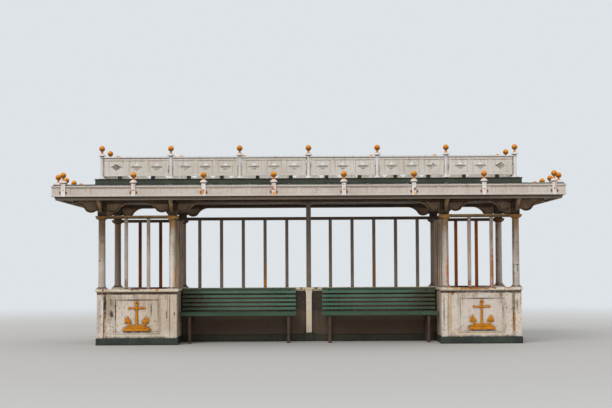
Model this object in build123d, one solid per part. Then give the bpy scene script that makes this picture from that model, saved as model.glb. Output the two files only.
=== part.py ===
from build123d import *
import os
from math import cos, radians, sin

# A seaside shelter: cast columns on panelled dwarf walls carry a flat roof with a
# fascia, ball finials and a pierced balustrade, over benches set back to back.
# Millimetres. The origin is on the ground in the middle, X runs along the front
# and -Y is the front. Front and rear are alike, and so are the two ends.

# Plan
central_bay = 4608
end_bay = 1196
column_line_spacing = 2032
eaves_overhang = 736

# Heights, each measured from the level below it
sill_height = 942
light_height = 1186
head_rail_height = 54
fanlight_height = 214
beam_height = 44
fascia_lift = 32
fascia_height = 176
deck_edge = 14
deck_rise = 34
curb_height = 102

# Dwarf walls
wall_thickness = 150
cross_wall_thickness = 120
spine_wall_thickness = 110
pilaster_width = 110
pilaster_relief = 15
pilaster_strip = 38
pilaster_strip_relief = 7
skirting_height = 115
skirting_step = 18
skirting_bevel = 8
panel_width = 784
panel_height = 606
panel_middle_height = 488
panel_moulding_width = 33
panel_moulding_relief = 16
panel_moulding_angle = 35
centre_pilaster_width = 98
centre_pilaster_relief = 22
centre_neck_width = 122
centre_neck_height = 60
centre_plinth_width = 150
centre_plinth_height = 150
centre_plinth_relief = 40

# Sills
sill_thickness = 62
sill_cove = 28
sill_projection = 30
sill_fillet = 4
centre_cap_projection = 10

# Columns
column_diameter = 120
column_taper = 3
column_foot_width = 168
column_foot_height = 18
column_torus = 24
column_torus_relief = 16
column_torus_set_in = 10
column_base_cove = 24
astragal_height = 14
astragal_relief = 6
capital_bowl_height = 50
capital_bowl_diameter = 208
capital_bowl_swell = 9
petal_count = 8
petal_angle = 34
petal_relief = 7
abacus_diameter = 228
abacus_height = 14
impost_width = 130
impost_height = 219
tablet_width = 96
tablet_height = 92
tablet_relief = 6
tablet_margin = 12

# Screens of open lights
spine_light_count = 12
end_light_count = 3
end_mullion_spacing = 376
cross_light_count = 3
mullion_width = 56
mullion_depth = 60
centre_post_width = 84
centre_post_depth = 90
cross_post_width = 76
head_rail_depth = 72

# Brackets
bracket_web = 32
bracket_flange = 55
bracket_flange_height = 15
bracket_reach = 490
bracket_tip = 52
bracket_lobe_reach = 186
bracket_lobe_drop = 206
bracket_lobe_width = 172
bracket_lobe_rise = 32
bracket_cove_sag = 26

# Beams and ceiling
beam_width = 110
ceiling_thickness = 25

# Fascia with its lip, recessed panels and lower band, and the bed mould under it
fascia_thickness = 80
fascia_lip_step = 12
fascia_lip_height = 24
fascia_band_step = 8
fascia_band_height = 26
fascia_splay = 7
recess_depth = 9
recess_width = 260
recess_height = 92
recess_margin = 16
bed_mould_setback = 46
bed_mould_step = 16
bed_mould_height = 26
bed_mould_ledge = 30
front_finial_count = 8
side_finial_count = 4
finial_corner_along = 199
finial_corner_across = 558
front_recess_count = 3
side_recess_count = 2

# Roof deck and curb
deck_set_in = 28
deck_bearing = 40
curb_margin = 103
curb_wall = 40
curb_roof_thickness = 30
curb_lip_step = 10
curb_lip_height = 16

# Balustrade
front_balustrade_bay_count = 6
side_balustrade_bay_count = 2
balustrade_clearance = 54
balustrade_height = 327
balustrade_thickness = 30
post_joint = 12
coping_height = 22
coping_overhang = 14
pierced_panel_count = 3
pierced_panel_width = 256
pierced_panel_height = 214
pierced_panel_recess = 7
piercing_width = 208
piercing_height = 132
piercing_hollow = 7
foot_block_width = 66
foot_block_depth = 60
foot_block_share = 0.26

# Balustrade posts
post_diameter = 60
post_base_diameter = 152
post_base_height = 56
post_base_edge = 12
post_neck_above_coping = 2
post_cap_diameter = 125
post_cap_cove = 14
post_cap_edge = 8
post_cap_dome = 30

# Straps that carry finials on the fascia
strap_width = 70
strap_thickness = 20
strap_rise = 32
strap_cap_diameter = 123
strap_cap_edge = 8
strap_cap_height = 58

# Ball finials
ball_diameter = 99
ball_neck_diameter = 34
ball_neck_height = 38
ball_foot_diameter = 62

# Benches
bench_inner_end = 219
bench_outer_end = 2210
bench_front = 678
seat_height = 533
seat_slat_count = 6
seat_slat_width = 60
seat_slat_thickness = 24
seat_back_edge = 196
front_board_height = 66
front_board_thickness = 24
top_slat_height = 40
back_slat_count = 5
back_slat_height = 44
back_slat_thickness = 22
back_slat_drop = 71
back_slat_pitch = 72
back_inner_end = 230
back_height = 401
back_lean = 4.7
back_foot = 178
support_thickness = 45
inner_support = 355
outer_support = 2053
support_bar = 46
seat_bearer_height = 62
support_arch_rise = 60
rear_leg_set_in = 120
leg_pad_width = 58
leg_pad_height = 16
leg_pad_spread = 8
wall_lug_height = 40

# Ornament on the end bay panels
ornament_thickness = 9
ornament_height = 500
ornament_width = 410
ornament_bar = 26
anchor_ring = 34
anchor_ring_bar = 17
anchor_stock_width = 236
anchor_stock_drop = 82
anchor_arm_radius = 164
anchor_seat = 18
fluke_barb_drop = 52
fluke_tip_rise = 62
fluke_depth = 78
wave_height = 44
wave_dip = 24
wave_crest_count = 4

# Places that follow from the sizes
inner_x = central_bay / 2
outer_x = inner_x + end_bay
line_y = column_line_spacing / 2
eaves_x = outer_x + eaves_overhang
eaves_y = line_y + eaves_overhang
end_bay_middle = (inner_x + outer_x) / 2
column_xs = {"outer_left": -outer_x, "inner_left": -inner_x, "inner_right": inner_x, "outer_right": outer_x}

sill_underside = sill_height - sill_thickness
head_rail_underside = sill_height + light_height
head_rail_top = head_rail_underside + head_rail_height
beam_underside = head_rail_top + fanlight_height
ceiling_underside = beam_underside + beam_height
fascia_underside = ceiling_underside + fascia_lift
fascia_top = fascia_underside + fascia_height
deck_foot = fascia_top + deck_edge
curb_foot = deck_foot + deck_rise
curb_top = curb_foot + curb_height


def block(x0, x1, y0, y1, z0, z1):
    middle = Pos((x0 + x1) / 2, (y0 + y1) / 2, (z0 + z1) / 2)
    return middle * Box(x1 - x0, y1 - y0, z1 - z0)


def spaced(pitch, count):
    """Evenly spaced places, centred on zero."""
    return [pitch * (index - (count - 1) / 2) for index in range(count)]


def turned(*profile):
    """A solid turned about the Z axis: its profile starts and ends on that axis."""
    axis = Line(profile[-1] @ 1, profile[0] @ 0)
    return revolve(make_face([*profile, axis]), Axis.Z)


def drawn(*outline):
    """A face from lines and arcs that run on from each other."""
    return make_face([edge for piece in outline for edge in piece.edges()])


def on_both_sides(part):
    return [part, mirror(part, Plane.XZ)]


def on_both_ends(part):
    return [mirror(part, Plane.YZ), part]


def at_four_corners(part):
    return [copy for half in on_both_ends(part) for copy in on_both_sides(half)]


def write(name, *solids):
    shape = solids[0] if len(solids) == 1 else Compound(children=list(solids))
    export_step(shape, f"parts/{name}.step")


os.makedirs("parts", exist_ok=True)


# Dwarf walls
pilaster_half = pilaster_width / 2 + pilaster_strip / 2
wall_half = wall_thickness / 2
pilaster_face = wall_half + pilaster_relief


def skirting(x0, x1, y0, y1):
    step = skirting_step
    body = block(x0 - step, x1 + step, y0 - step, y1 + step, 0, skirting_height)
    return chamfer(body.faces().sort_by(Axis.Z)[-1].edges(), skirting_bevel)


def panel_moulding(face):
    """A raised frame with splayed sides, on the plane of a wall face."""
    relief, angle = panel_moulding_relief, panel_moulding_angle
    inner_width = panel_width - 2 * panel_moulding_width
    inner_height = panel_height - 2 * panel_moulding_width
    raised = extrude(face * Rectangle(panel_width, panel_height), relief, taper=angle)
    return raised - extrude(face * Rectangle(inner_width, inner_height), relief, taper=-angle)


def end_bay_wall(panel_face):
    left, right = inner_x - pilaster_half, outer_x + pilaster_half
    wall = block(left, right, -line_y - wall_half, -line_y + wall_half, 0, sill_underside)
    strip_face = wall_half + pilaster_strip_relief
    for outside, inward in ((left, 1), (right, -1)):
        for width, face in ((pilaster_width, pilaster_face), (2 * pilaster_half, strip_face)):
            x0, x1 = sorted((outside, outside + inward * width))
            wall += block(x0, x1, -line_y - face, -line_y + face, 0, sill_underside)
    wall += skirting(left, right, -line_y - pilaster_face, -line_y + pilaster_face)
    return wall + panel_moulding(panel_face)


panel_face = Plane(
    origin=(end_bay_middle, -line_y - wall_half, panel_middle_height), x_dir=(1, 0, 0), z_dir=(0, -1, 0)
)
front_right_wall = end_bay_wall(panel_face)

cross_half = cross_wall_thickness / 2
right_cross_wall = block(inner_x - cross_half, inner_x + cross_half, -line_y, line_y, 0, sill_underside)
right_cross_wall += skirting(inner_x - cross_half, inner_x + cross_half, -line_y, line_y)
for wall in on_both_sides(front_right_wall):
    right_cross_wall -= wall

spine_half = spine_wall_thickness / 2
centre_half = centre_pilaster_width / 2
centre_face = spine_half + centre_pilaster_relief
plinth_half = centre_plinth_width / 2
plinth_face = spine_half + centre_plinth_relief
spine_wall = block(-inner_x, inner_x, -spine_half, spine_half, 0, sill_underside)
spine_wall += skirting(-inner_x, inner_x, -spine_half, spine_half)
spine_wall += block(-centre_half, centre_half, -centre_face, centre_face, 0, sill_underside)
neck_half = centre_neck_width / 2
neck_face = centre_face + neck_half - centre_half
shaft_section = Pos(0, 0, sill_underside - centre_neck_height) * Rectangle(2 * centre_half, 2 * centre_face)
spine_wall += loft([shaft_section, Pos(0, 0, sill_underside) * Rectangle(2 * neck_half, 2 * neck_face)])
spine_wall += block(-plinth_half, plinth_half, -plinth_face, plinth_face, 0, centre_plinth_height)
for wall in on_both_ends(right_cross_wall):
    spine_wall -= wall

front_left_wall, _ = on_both_ends(front_right_wall)
left_cross_wall, _ = on_both_ends(right_cross_wall)
write("front_left_wall", front_left_wall)
write("front_right_wall", front_right_wall)
write("rear_left_wall", mirror(front_left_wall, Plane.XZ))
write("rear_right_wall", mirror(front_right_wall, Plane.XZ))
write("left_cross_wall", left_cross_wall)
write("right_cross_wall", right_cross_wall)
write("spine_wall", spine_wall)


# Sills
def sill(x0, x1, y0, y1, out=sill_projection):
    """A coping that spreads from the wall under it to a square edge."""
    cove_top = sill_underside + sill_cove
    spread = out - sill_fillet
    middle_x, middle_y = (x0 + x1) / 2, (y0 + y1) / 2
    foot = Pos(middle_x, middle_y, sill_underside) * Rectangle(x1 - x0, y1 - y0)
    head = Pos(middle_x, middle_y, cove_top) * Rectangle(x1 - x0 + 2 * spread, y1 - y0 + 2 * spread)
    return loft([foot, head]) + block(x0 - out, x1 + out, y0 - out, y1 + out, cove_top, sill_height)


front_right_sill = sill(
    inner_x - pilaster_half, outer_x + pilaster_half, -line_y - pilaster_face, -line_y + pilaster_face
)
right_cross_sill = sill(inner_x - cross_half, inner_x + cross_half, -line_y, line_y)
for coping in on_both_sides(front_right_sill):
    right_cross_sill -= coping
spine_sill = sill(-inner_x, inner_x, -spine_half, spine_half)
spine_sill += sill(-neck_half, neck_half, -neck_face, neck_face, centre_cap_projection)
for coping in on_both_ends(right_cross_sill):
    spine_sill -= coping
write("end_bay_sills", *at_four_corners(front_right_sill))
write("cross_sills", *on_both_ends(right_cross_sill))
write("spine_sill", spine_sill)


# Columns, each cast in one with its base, petalled capital and impost block
def square(width, foot, head):
    return block(-width / 2, width / 2, -width / 2, width / 2, foot, head)


def capital_petal(neck, foot, lip, head):
    """One of the petals that ring the bowl of a capital."""
    base, edge = neck + petal_relief / 2, lip + petal_relief
    swell = capital_bowl_swell
    petal = drawn(
        Polyline((neck, 0, head), (neck - petal_relief, 0, foot), (base, 0, foot)),
        ThreePointArc(
            (base, 0, foot), ((base + edge) / 2 + swell, 0, (foot + head) / 2 - swell), (edge, 0, head)
        ),
        Line((edge, 0, head), (neck, 0, head)),
    )
    return Rot(0, 0, -petal_angle / 2) * revolve(petal, Axis.Z, petal_angle)


def impost_tablet(foot):
    """A raised tablet on the side of the impost block that faces +X."""
    middle = (impost_width / 2, 0, foot + tablet_margin + tablet_height / 2)
    face = Plane(origin=middle, x_dir=(0, 1, 0), z_dir=(1, 0, 0))
    return extrude(face * Rectangle(tablet_width, tablet_height), tablet_relief, taper=panel_moulding_angle)


def column():
    shaft = column_diameter / 2
    neck = shaft - column_taper
    torus_foot = sill_height + column_foot_height
    torus_top = torus_foot + column_torus
    base_top = torus_top + column_base_cove
    abacus_top = beam_underside - impost_height
    abacus_foot = abacus_top - abacus_height
    bowl_foot = abacus_foot - capital_bowl_height
    astragal_foot = bowl_foot - astragal_height
    lip, abacus = capital_bowl_diameter / 2, abacus_diameter / 2
    bulge, shelf = shaft + column_torus_relief, shaft + column_torus_relief - column_torus_set_in
    swell = capital_bowl_swell
    casting = turned(
        Line((0, 0, torus_foot), (shaft, 0, torus_foot)),
        ThreePointArc(
            (shaft, 0, torus_foot), (bulge, 0, (torus_foot + torus_top) / 2), (shelf, 0, torus_top)
        ),
        ThreePointArc(
            (shelf, 0, torus_top),
            ((2 * shaft + shelf) / 3, 0, (torus_top + base_top) / 2),
            (shaft, 0, base_top),
        ),
        Line((shaft, 0, base_top), (neck, 0, astragal_foot)),
        ThreePointArc(
            (neck, 0, astragal_foot),
            (neck + astragal_relief, 0, (astragal_foot + bowl_foot) / 2),
            (neck, 0, bowl_foot),
        ),
        ThreePointArc(
            (neck, 0, bowl_foot), ((neck + lip) / 2 + swell, 0, (bowl_foot + abacus_foot) / 2 - swell),
            (lip, 0, abacus_foot),
        ),
        Line((lip, 0, abacus_foot), (abacus, 0, abacus_foot)),
        Line((abacus, 0, abacus_foot), (abacus, 0, abacus_top)),
        Line((abacus, 0, abacus_top), (0, 0, abacus_top)),
    )
    petal = capital_petal(neck, bowl_foot, lip, abacus_foot)
    casting += [Rot(0, 0, 360 * (index + 0.5) / petal_count) * petal for index in range(petal_count)]
    casting += square(column_foot_width, sill_height, torus_foot)
    casting += square(impost_width, abacus_top, beam_underside)
    tablet = impost_tablet(abacus_top)
    return casting + [Rot(0, 0, 90 * index) * tablet for index in range(4)]


standard_column = column()
for side, y in (("front", -line_y), ("rear", line_y)):
    for place, x in column_xs.items():
        write(f"{side}_{place}_column", Pos(x, y, 0) * standard_column)


# Screens: mullions stand on the sills under head rails that run between the columns
def upright(x, y, width, depth, top):
    return block(x - width / 2, x + width / 2, y - depth / 2, y + depth / 2, sill_height, top)


end_mullions = []
for offset in spaced(end_mullion_spacing, end_light_count - 1):
    mullion = upright(end_bay_middle + offset, -line_y, mullion_width, mullion_depth, head_rail_underside)
    end_mullions += at_four_corners(mullion)
write("end_bay_mullions", *end_mullions)

cross_mullions = []
for index in range(1, cross_light_count):
    y = -line_y * index / cross_light_count
    mullion = upright(inner_x, y, mullion_depth, mullion_width, head_rail_underside)
    cross_mullions += at_four_corners(mullion)
cross_post = upright(inner_x, 0, cross_post_width, cross_post_width, head_rail_underside)
write("cross_mullions", *cross_mullions, *on_both_ends(cross_post))

spine_mullions = []
for index in range(1, spine_light_count // 2):
    x = central_bay * index / spine_light_count
    spine_mullions += on_both_ends(upright(x, 0, mullion_width, mullion_depth, head_rail_underside))
write("spine_mullions", *spine_mullions)
write("centre_post", upright(0, 0, centre_post_width, centre_post_depth, ceiling_underside))


def rail(x0, x1, y0, y1):
    return block(x0, x1, y0, y1, head_rail_underside, head_rail_top)


rail_half = head_rail_depth / 2
front_right_columns = [Pos(x, -line_y, 0) * standard_column for x in (inner_x, outer_x)]
end_rail = rail(inner_x, outer_x, -line_y - rail_half, -line_y + rail_half)
for neighbour in front_right_columns:
    end_rail -= neighbour
cross_rail = rail(inner_x - rail_half, inner_x + rail_half, -line_y, line_y)
for neighbour in on_both_sides(front_right_columns[0]):
    cross_rail -= neighbour
spine_rail = rail(centre_post_width / 2, inner_x - rail_half, -rail_half, rail_half)
write("end_bay_head_rails", *at_four_corners(end_rail))
write("cross_head_rails", *on_both_ends(cross_rail))
write("spine_head_rails", *on_both_ends(spine_rail))

# Beams on the column lines, with the ceiling on top of them
beam_half = beam_width / 2
cross_beam_end = line_y - beam_half
beam_end = outer_x + impost_width / 2
front_beam = block(
    -beam_end, beam_end, -line_y - beam_half, -line_y + beam_half, beam_underside, ceiling_underside
)
cross_beams = [
    block(x - beam_half, x + beam_half, -cross_beam_end, cross_beam_end, beam_underside, ceiling_underside)
    for x in column_xs.values()
]
ceiling_x, ceiling_y = eaves_x - fascia_thickness, eaves_y - fascia_thickness
ceiling_top = ceiling_underside + ceiling_thickness
write("front_beam", front_beam)
write("rear_beam", mirror(front_beam, Plane.XZ))
write("cross_beams", *cross_beams)
write("ceiling", block(-ceiling_x, ceiling_x, -ceiling_y, ceiling_y, ceiling_underside, ceiling_top))


# Brackets that spring from the impost blocks
def bracket():
    """A cast bracket that points along +X from a column on the origin: a web with a flange under it."""
    top = ceiling_underside
    start = impost_width / 2
    lobe_half, lobe_height = bracket_lobe_width / 2, top - bracket_lobe_drop + bracket_lobe_rise
    lobe_start = (bracket_lobe_reach - lobe_half, 0, lobe_height)
    lobe_end = (bracket_lobe_reach + lobe_half, 0, lobe_height)
    tip = (bracket_reach, 0, top - bracket_tip)
    cove_x = (lobe_end[0] + tip[0]) / 2 - bracket_cove_sag
    cove_z = (lobe_end[2] + tip[2]) / 2 + bracket_cove_sag
    side = drawn(
        Polyline(tip, (bracket_reach, 0, top), (start, 0, top), (start, 0, lobe_height), lobe_start),
        ThreePointArc(lobe_start, (bracket_lobe_reach, 0, top - bracket_lobe_drop), lobe_end),
        ThreePointArc(lobe_end, (cove_x, 0, cove_z), tip),
    )
    web = extrude(side, bracket_web / 2, both=True)
    flange = extrude(side, bracket_flange / 2, both=True)
    flange -= Pos(-bracket_flange_height / 2, 0, bracket_flange_height) * flange
    return web + flange.solids().sort_by(SortBy.VOLUME)[-1]


standard_bracket = bracket()
front_brackets = []
for x in column_xs.values():
    for heading in (-90, 0, 180):
        front_brackets.append(Pos(x, -line_y, 0) * Rot(0, 0, heading) * standard_bracket - front_beam)
write("front_brackets", *front_brackets)
write("rear_brackets", *[mirror(piece, Plane.XZ) for piece in front_brackets])


# Fascia, bed mould and lip in one section, mitred at the corners
def eaves_section():
    """Section of the front eaves: the first value is measured in from the outermost edge."""
    lip_foot = fascia_top - fascia_lip_height
    band_top = fascia_underside + fascia_band_height
    band_face = fascia_lip_step - fascia_band_step
    bed_turn = bed_mould_setback + bed_mould_step
    bed_foot = ceiling_underside - bed_mould_height
    ledge = fascia_thickness + bed_mould_ledge
    return drawn(
        Polyline(
            (fascia_thickness, fascia_top), (0, fascia_top), (0, lip_foot),
            (fascia_lip_step, lip_foot - fascia_splay), (fascia_lip_step, band_top + fascia_splay),
            (band_face, band_top), (band_face, fascia_underside), (bed_mould_setback, fascia_underside),
        ),
        ThreePointArc(
            (bed_mould_setback, fascia_underside),
            (bed_mould_setback + bed_mould_step / 5, (fascia_underside + ceiling_underside) / 2),
            (bed_turn, ceiling_underside),
        ),
        Polyline(
            (bed_turn, ceiling_underside), (bed_turn, bed_foot),
            (ledge, bed_foot), (ledge, ceiling_underside),
            (fascia_thickness, ceiling_underside), (fascia_thickness, fascia_top),
        ),
    )


def recess_middles(finials, count):
    """Middles of the recessed panels between each pair of finials."""
    middles = []
    for first, last in zip(finials, finials[1:]):
        gap = (last - first - strap_width - count * recess_width) / (count + 1)
        middles += [(first + last) / 2 + offset for offset in spaced(recess_width + gap, count)]
    return middles


def eaves_run(half_length, half_depth, middles):
    """The eaves on the front of a roof with these half sizes."""
    section = Plane(origin=(-half_length, -half_depth, 0), x_dir=(0, 1, 0), z_dir=(1, 0, 0)) * eaves_section()
    run = extrude(section, 2 * half_length)
    inset = fascia_thickness + bed_mould_ledge
    mitred_plan = Polyline(
        (-half_length, -half_depth), (half_length, -half_depth),
        (half_length - inset, inset - half_depth), (inset - half_length, inset - half_depth), close=True,
    )
    run &= extrude(make_face(mitred_plan), fascia_top)
    face = fascia_lip_step - half_depth
    foot = fascia_underside + fascia_band_height + recess_margin
    for middle in middles:
        x0, x1 = middle - recess_width / 2, middle + recess_width / 2
        run -= block(x0, x1, face, face + recess_depth, foot, foot + recess_height)
    return run


finial_xs = spaced(2 * (eaves_x - finial_corner_along) / (front_finial_count - 1), front_finial_count)
finial_ys = spaced(2 * (eaves_y - finial_corner_across) / (side_finial_count - 1), side_finial_count)
corner_recess = eaves_y - finial_corner_across / 2 - strap_width / 4
across_recesses = [-corner_recess, *recess_middles(finial_ys, side_recess_count), corner_recess]
front_fascia = eaves_run(eaves_x, eaves_y, recess_middles(finial_xs, front_recess_count))
right_fascia = Rot(0, 0, 90) * eaves_run(eaves_y, eaves_x, across_recesses)
write("front_fascia", front_fascia)
write("rear_fascia", mirror(front_fascia, Plane.XZ))
write("left_fascia", mirror(right_fascia, Plane.YZ))
write("right_fascia", right_fascia)

# Roof deck, which falls gently from the curb to the fascia
curb_x, curb_y = outer_x + curb_margin, line_y + curb_margin


def fall(half_x, half_y, foot):
    low = Pos(0, 0, foot) * Rectangle(2 * half_x, 2 * half_y)
    high = Pos(0, 0, foot + deck_rise) * Rectangle(2 * curb_x, 2 * curb_y)
    return loft([low, high])


deck_x, deck_y = eaves_x - deck_set_in, eaves_y - deck_set_in
roof_deck = block(-deck_x, deck_x, -deck_y, deck_y, fascia_top, deck_foot) + fall(deck_x, deck_y, deck_foot)
roof_deck -= fall(deck_x - deck_bearing, deck_y - deck_bearing, fascia_top)
roof_deck -= block(-curb_x, curb_x, -curb_y, curb_y, fascia_top, curb_top)
write("roof_deck", roof_deck)

roof_curb = block(-curb_x, curb_x, -curb_y, curb_y, ceiling_top, curb_top)
lip_x, lip_y = curb_x + curb_lip_step, curb_y + curb_lip_step
for foot in (curb_foot, curb_top - curb_lip_height):
    roof_curb += block(-lip_x, lip_x, -lip_y, lip_y, foot, foot + curb_lip_height)
void_x, void_y = curb_x - curb_wall, curb_y - curb_wall
roof_curb -= block(-void_x, void_x, -void_y, void_y, ceiling_top, curb_top - curb_roof_thickness)
write("roof_curb", roof_curb)


# Ball finials: a flared foot, a neck and the ball, turned in one
def ball_finial():
    """A finial that stands on the origin."""
    foot, neck, ball = ball_foot_diameter / 2, ball_neck_diameter / 2, ball_diameter / 2
    middle = ball_neck_height + (ball**2 - neck**2) ** 0.5
    return turned(
        Line((0, 0, 0), (foot, 0, 0)),
        ThreePointArc(
            (foot, 0, 0), (neck + (foot - neck) / 5, 0, ball_neck_height * 0.4), (neck, 0, ball_neck_height)
        ),
        ThreePointArc((neck, 0, ball_neck_height), (ball, 0, middle), (0, 0, middle + ball)),
    )


standard_finial = ball_finial()

# Balustrade posts, each with a spreading base and a bell cap
coping_top = curb_top + balustrade_clearance + balustrade_height
neck_height = coping_top + post_neck_above_coping
cove_top = neck_height + post_cap_cove
edge_top = cove_top + post_cap_edge
cap_top = edge_top + post_cap_dome


def balustrade_post():
    shaft, base = post_diameter / 2, post_base_diameter / 2
    cap, seat = post_cap_diameter / 2, ball_foot_diameter / 2
    base_edge, base_top = curb_top + post_base_edge, curb_top + post_base_height
    return turned(
        Line((0, 0, curb_top), (base, 0, curb_top)),
        Line((base, 0, curb_top), (base, 0, base_edge)),
        ThreePointArc(
            (base, 0, base_edge),
            (shaft + (base - shaft) / 3, 0, (2 * base_edge + base_top) / 3),
            (shaft, 0, base_top),
        ),
        Line((shaft, 0, base_top), (shaft, 0, neck_height)),
        ThreePointArc(
            (shaft, 0, neck_height),
            (shaft + (cap - shaft) / 4, 0, (neck_height + 2 * cove_top) / 3),
            (cap, 0, cove_top),
        ),
        Line((cap, 0, cove_top), (cap, 0, edge_top)),
        ThreePointArc(
            (cap, 0, edge_top), (cap - (cap - seat) / 3, 0, (edge_top + cap_top) / 2), (seat, 0, cap_top)
        ),
        Line((seat, 0, cap_top), (0, 0, cap_top)),
    )


standard_post = balustrade_post()
post_pitch_along = 2 * outer_x / front_balustrade_bay_count
post_pitch_across = 2 * line_y / side_balustrade_bay_count
post_xs = spaced(post_pitch_along, front_balustrade_bay_count + 1)
post_ys = spaced(post_pitch_across, side_balustrade_bay_count + 1)
post_places = [(x, y) for x in post_xs for y in (-line_y, line_y)]
post_places += [(x, y) for x in (-outer_x, outer_x) for y in post_ys[1:-1]]
write("balustrade_posts", *[Pos(x, y, 0) * standard_post for x, y in post_places])
write("balustrade_balls", *[Pos(x, y, cap_top) * standard_finial for x, y in post_places])


# Pierced balustrade panels between the posts
def piercing():
    """The outline of one opening: a long lozenge with hollow sides."""
    corners = [
        Vector(piercing_width / 2, 0), Vector(0, piercing_height / 2),
        Vector(-piercing_width / 2, 0), Vector(0, -piercing_height / 2),
    ]
    sides = []
    for start, end in zip(corners, corners[1:] + corners[:1]):
        middle = (start + end) / 2
        sides.append(ThreePointArc(start, middle - middle.normalized() * piercing_hollow, end))
    return make_face(sides)


def balustrade_bay(length):
    """Pierced panels under a coping, along X between two posts this far apart."""
    foot, head = curb_top + balustrade_clearance, coping_top - coping_height
    half, middle = balustrade_thickness / 2, (foot + head) / 2
    bay = block(-length / 2, length / 2, -half, half, foot, head)
    coping = half + coping_overhang
    bay += block(-length / 2, length / 2, -coping, coping, head, coping_top)
    gap = (length - post_diameter - pierced_panel_count * pierced_panel_width) / (pierced_panel_count + 1)
    low, high = middle - pierced_panel_height / 2, middle + pierced_panel_height / 2
    for x in spaced(pierced_panel_width + gap, pierced_panel_count):
        left, right = x - pierced_panel_width / 2, x + pierced_panel_width / 2
        bay -= block(left, right, -half, pierced_panel_recess - half, low, high)
        bay -= block(left, right, half - pierced_panel_recess, half, low, high)
        opening = Plane(origin=(x, 0, middle), x_dir=(1, 0, 0), z_dir=(0, -1, 0)) * piercing()
        bay -= extrude(opening, half, both=True)
    for share in (foot_block_share, 1 - foot_block_share):
        x = length * (share - 0.5)
        across, deep = foot_block_width / 2, foot_block_depth / 2
        bay += block(x - across, x + across, -deep, deep, curb_top, foot)
    for radius, top in ((post_diameter / 2, coping_top), (post_diameter / 2 + post_joint, head)):
        post_space = Cylinder(radius, top - curb_top, align=(Align.CENTER, Align.CENTER, Align.MIN))
        for x in (-length / 2, length / 2):
            bay -= Pos(x, 0, curb_top) * post_space
    return bay


long_bay = balustrade_bay(post_pitch_along)
short_bay = balustrade_bay(post_pitch_across)
front_bays = [Pos((a + b) / 2, -line_y, 0) * long_bay for a, b in zip(post_xs, post_xs[1:])]
rear_bays = [mirror(bay, Plane.XZ) for bay in front_bays]
right_bays = [Pos(outer_x, (a + b) / 2, 0) * Rot(0, 0, 90) * short_bay for a, b in zip(post_ys, post_ys[1:])]
right_bays[0] -= front_bays[-1]
right_bays[-1] -= rear_bays[-1]
write("front_balustrade", *front_bays)
write("rear_balustrade", *rear_bays)
write("left_balustrade", *[mirror(bay, Plane.YZ) for bay in right_bays])
write("right_balustrade", *right_bays)

# Straps over the fascia, each with a bell cap that carries a ball finial
strap_face = fascia_lip_step - strap_thickness
strap_middle = strap_face + strap_width / 2
strap_top = fascia_top + strap_rise
strap_cap_top = strap_top + strap_cap_height


def finial_strap():
    """A strap at X = 0, where the outermost edge of the fascia lies on Y = 0."""
    half, cap, seat = strap_width / 2, strap_cap_diameter / 2, ball_foot_diameter / 2
    strap = block(-half, half, strap_face, fascia_lip_step, fascia_underside, fascia_top)
    strap += block(-half, half, strap_face, strap_face + strap_width, fascia_top, strap_top)
    bell = turned(
        Line((0, 0, 0), (cap, 0, 0)),
        Line((cap, 0, 0), (cap, 0, strap_cap_edge)),
        ThreePointArc(
            (cap, 0, strap_cap_edge),
            (seat + (cap - seat) / 3, 0, (strap_cap_edge + strap_cap_height) / 2),
            (seat, 0, strap_cap_height),
        ),
        Line((seat, 0, strap_cap_height), (0, 0, strap_cap_height)),
    )
    return strap + Pos(0, strap_middle, strap_top) * bell


strap_on_edge = finial_strap()
strap_on_side = Rot(0, 0, 90) * strap_on_edge
front_straps = [Pos(x, -eaves_y, 0) * strap_on_edge - front_fascia - roof_deck for x in finial_xs]
right_straps = [Pos(eaves_x, y, 0) * strap_on_side - right_fascia - roof_deck for y in finial_ys]
straps = [strap for front in front_straps for strap in on_both_sides(front)]
straps += [strap for right in right_straps for strap in on_both_ends(right)]
ball_x, ball_y = eaves_x - strap_middle, eaves_y - strap_middle
ball_places = [(x, y) for x in finial_xs for y in (-ball_y, ball_y)]
ball_places += [(x, y) for x in (-ball_x, ball_x) for y in finial_ys]
write("fascia_finial_straps", *straps)
write("fascia_balls", *[Pos(x, y, strap_cap_top) * standard_finial for x, y in ball_places])

# Benches: cast supports carry slats in front of the spine wall
bearer_top = seat_height - seat_slat_thickness
bearer_front = bench_front - front_board_thickness
lean_y, lean_z = sin(radians(back_lean)), cos(radians(back_lean))


def bench_support(x):
    """A cast frame across the bench: front leg, seat bearer, back post, rear leg and a lug into the wall."""

    def point(from_spine, height):
        return (x, -from_spine, height)

    arch_foot = bearer_top - seat_bearer_height - support_arch_rise
    front_inside, rear_inside = bearer_front - support_bar, rear_leg_set_in + support_bar
    back_head = back_foot - back_height * lean_y / lean_z
    back_top = seat_height + back_height
    outline = drawn(
        Polyline(
            point(front_inside, arch_foot), point(front_inside, 0), point(bearer_front, 0),
            point(bearer_front, bearer_top), point(back_foot, bearer_top), point(back_foot, seat_height),
            point(back_head, back_top), point(back_head - support_bar / 2, back_top),
            point(rear_leg_set_in, seat_height), point(rear_leg_set_in, 0), point(rear_inside, 0),
            point(rear_inside, arch_foot),
        ),
        ThreePointArc(
            point(rear_inside, arch_foot),
            point((rear_inside + front_inside) / 2, arch_foot + support_arch_rise),
            point(front_inside, arch_foot),
        ),
    )
    frame = extrude(outline, support_thickness / 2, dir=(1, 0, 0), both=True)
    half, pad, spread = support_thickness / 2, leg_pad_width / 2, leg_pad_spread
    for front, back in ((bearer_front, front_inside), (rear_inside, rear_leg_set_in)):
        frame += block(x - pad, x + pad, -front - spread, -back + spread, 0, leg_pad_height)
    return frame + block(
        x - half, x + half, -rear_leg_set_in, -spine_half, bearer_top - wall_lug_height, bearer_top
    )


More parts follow.
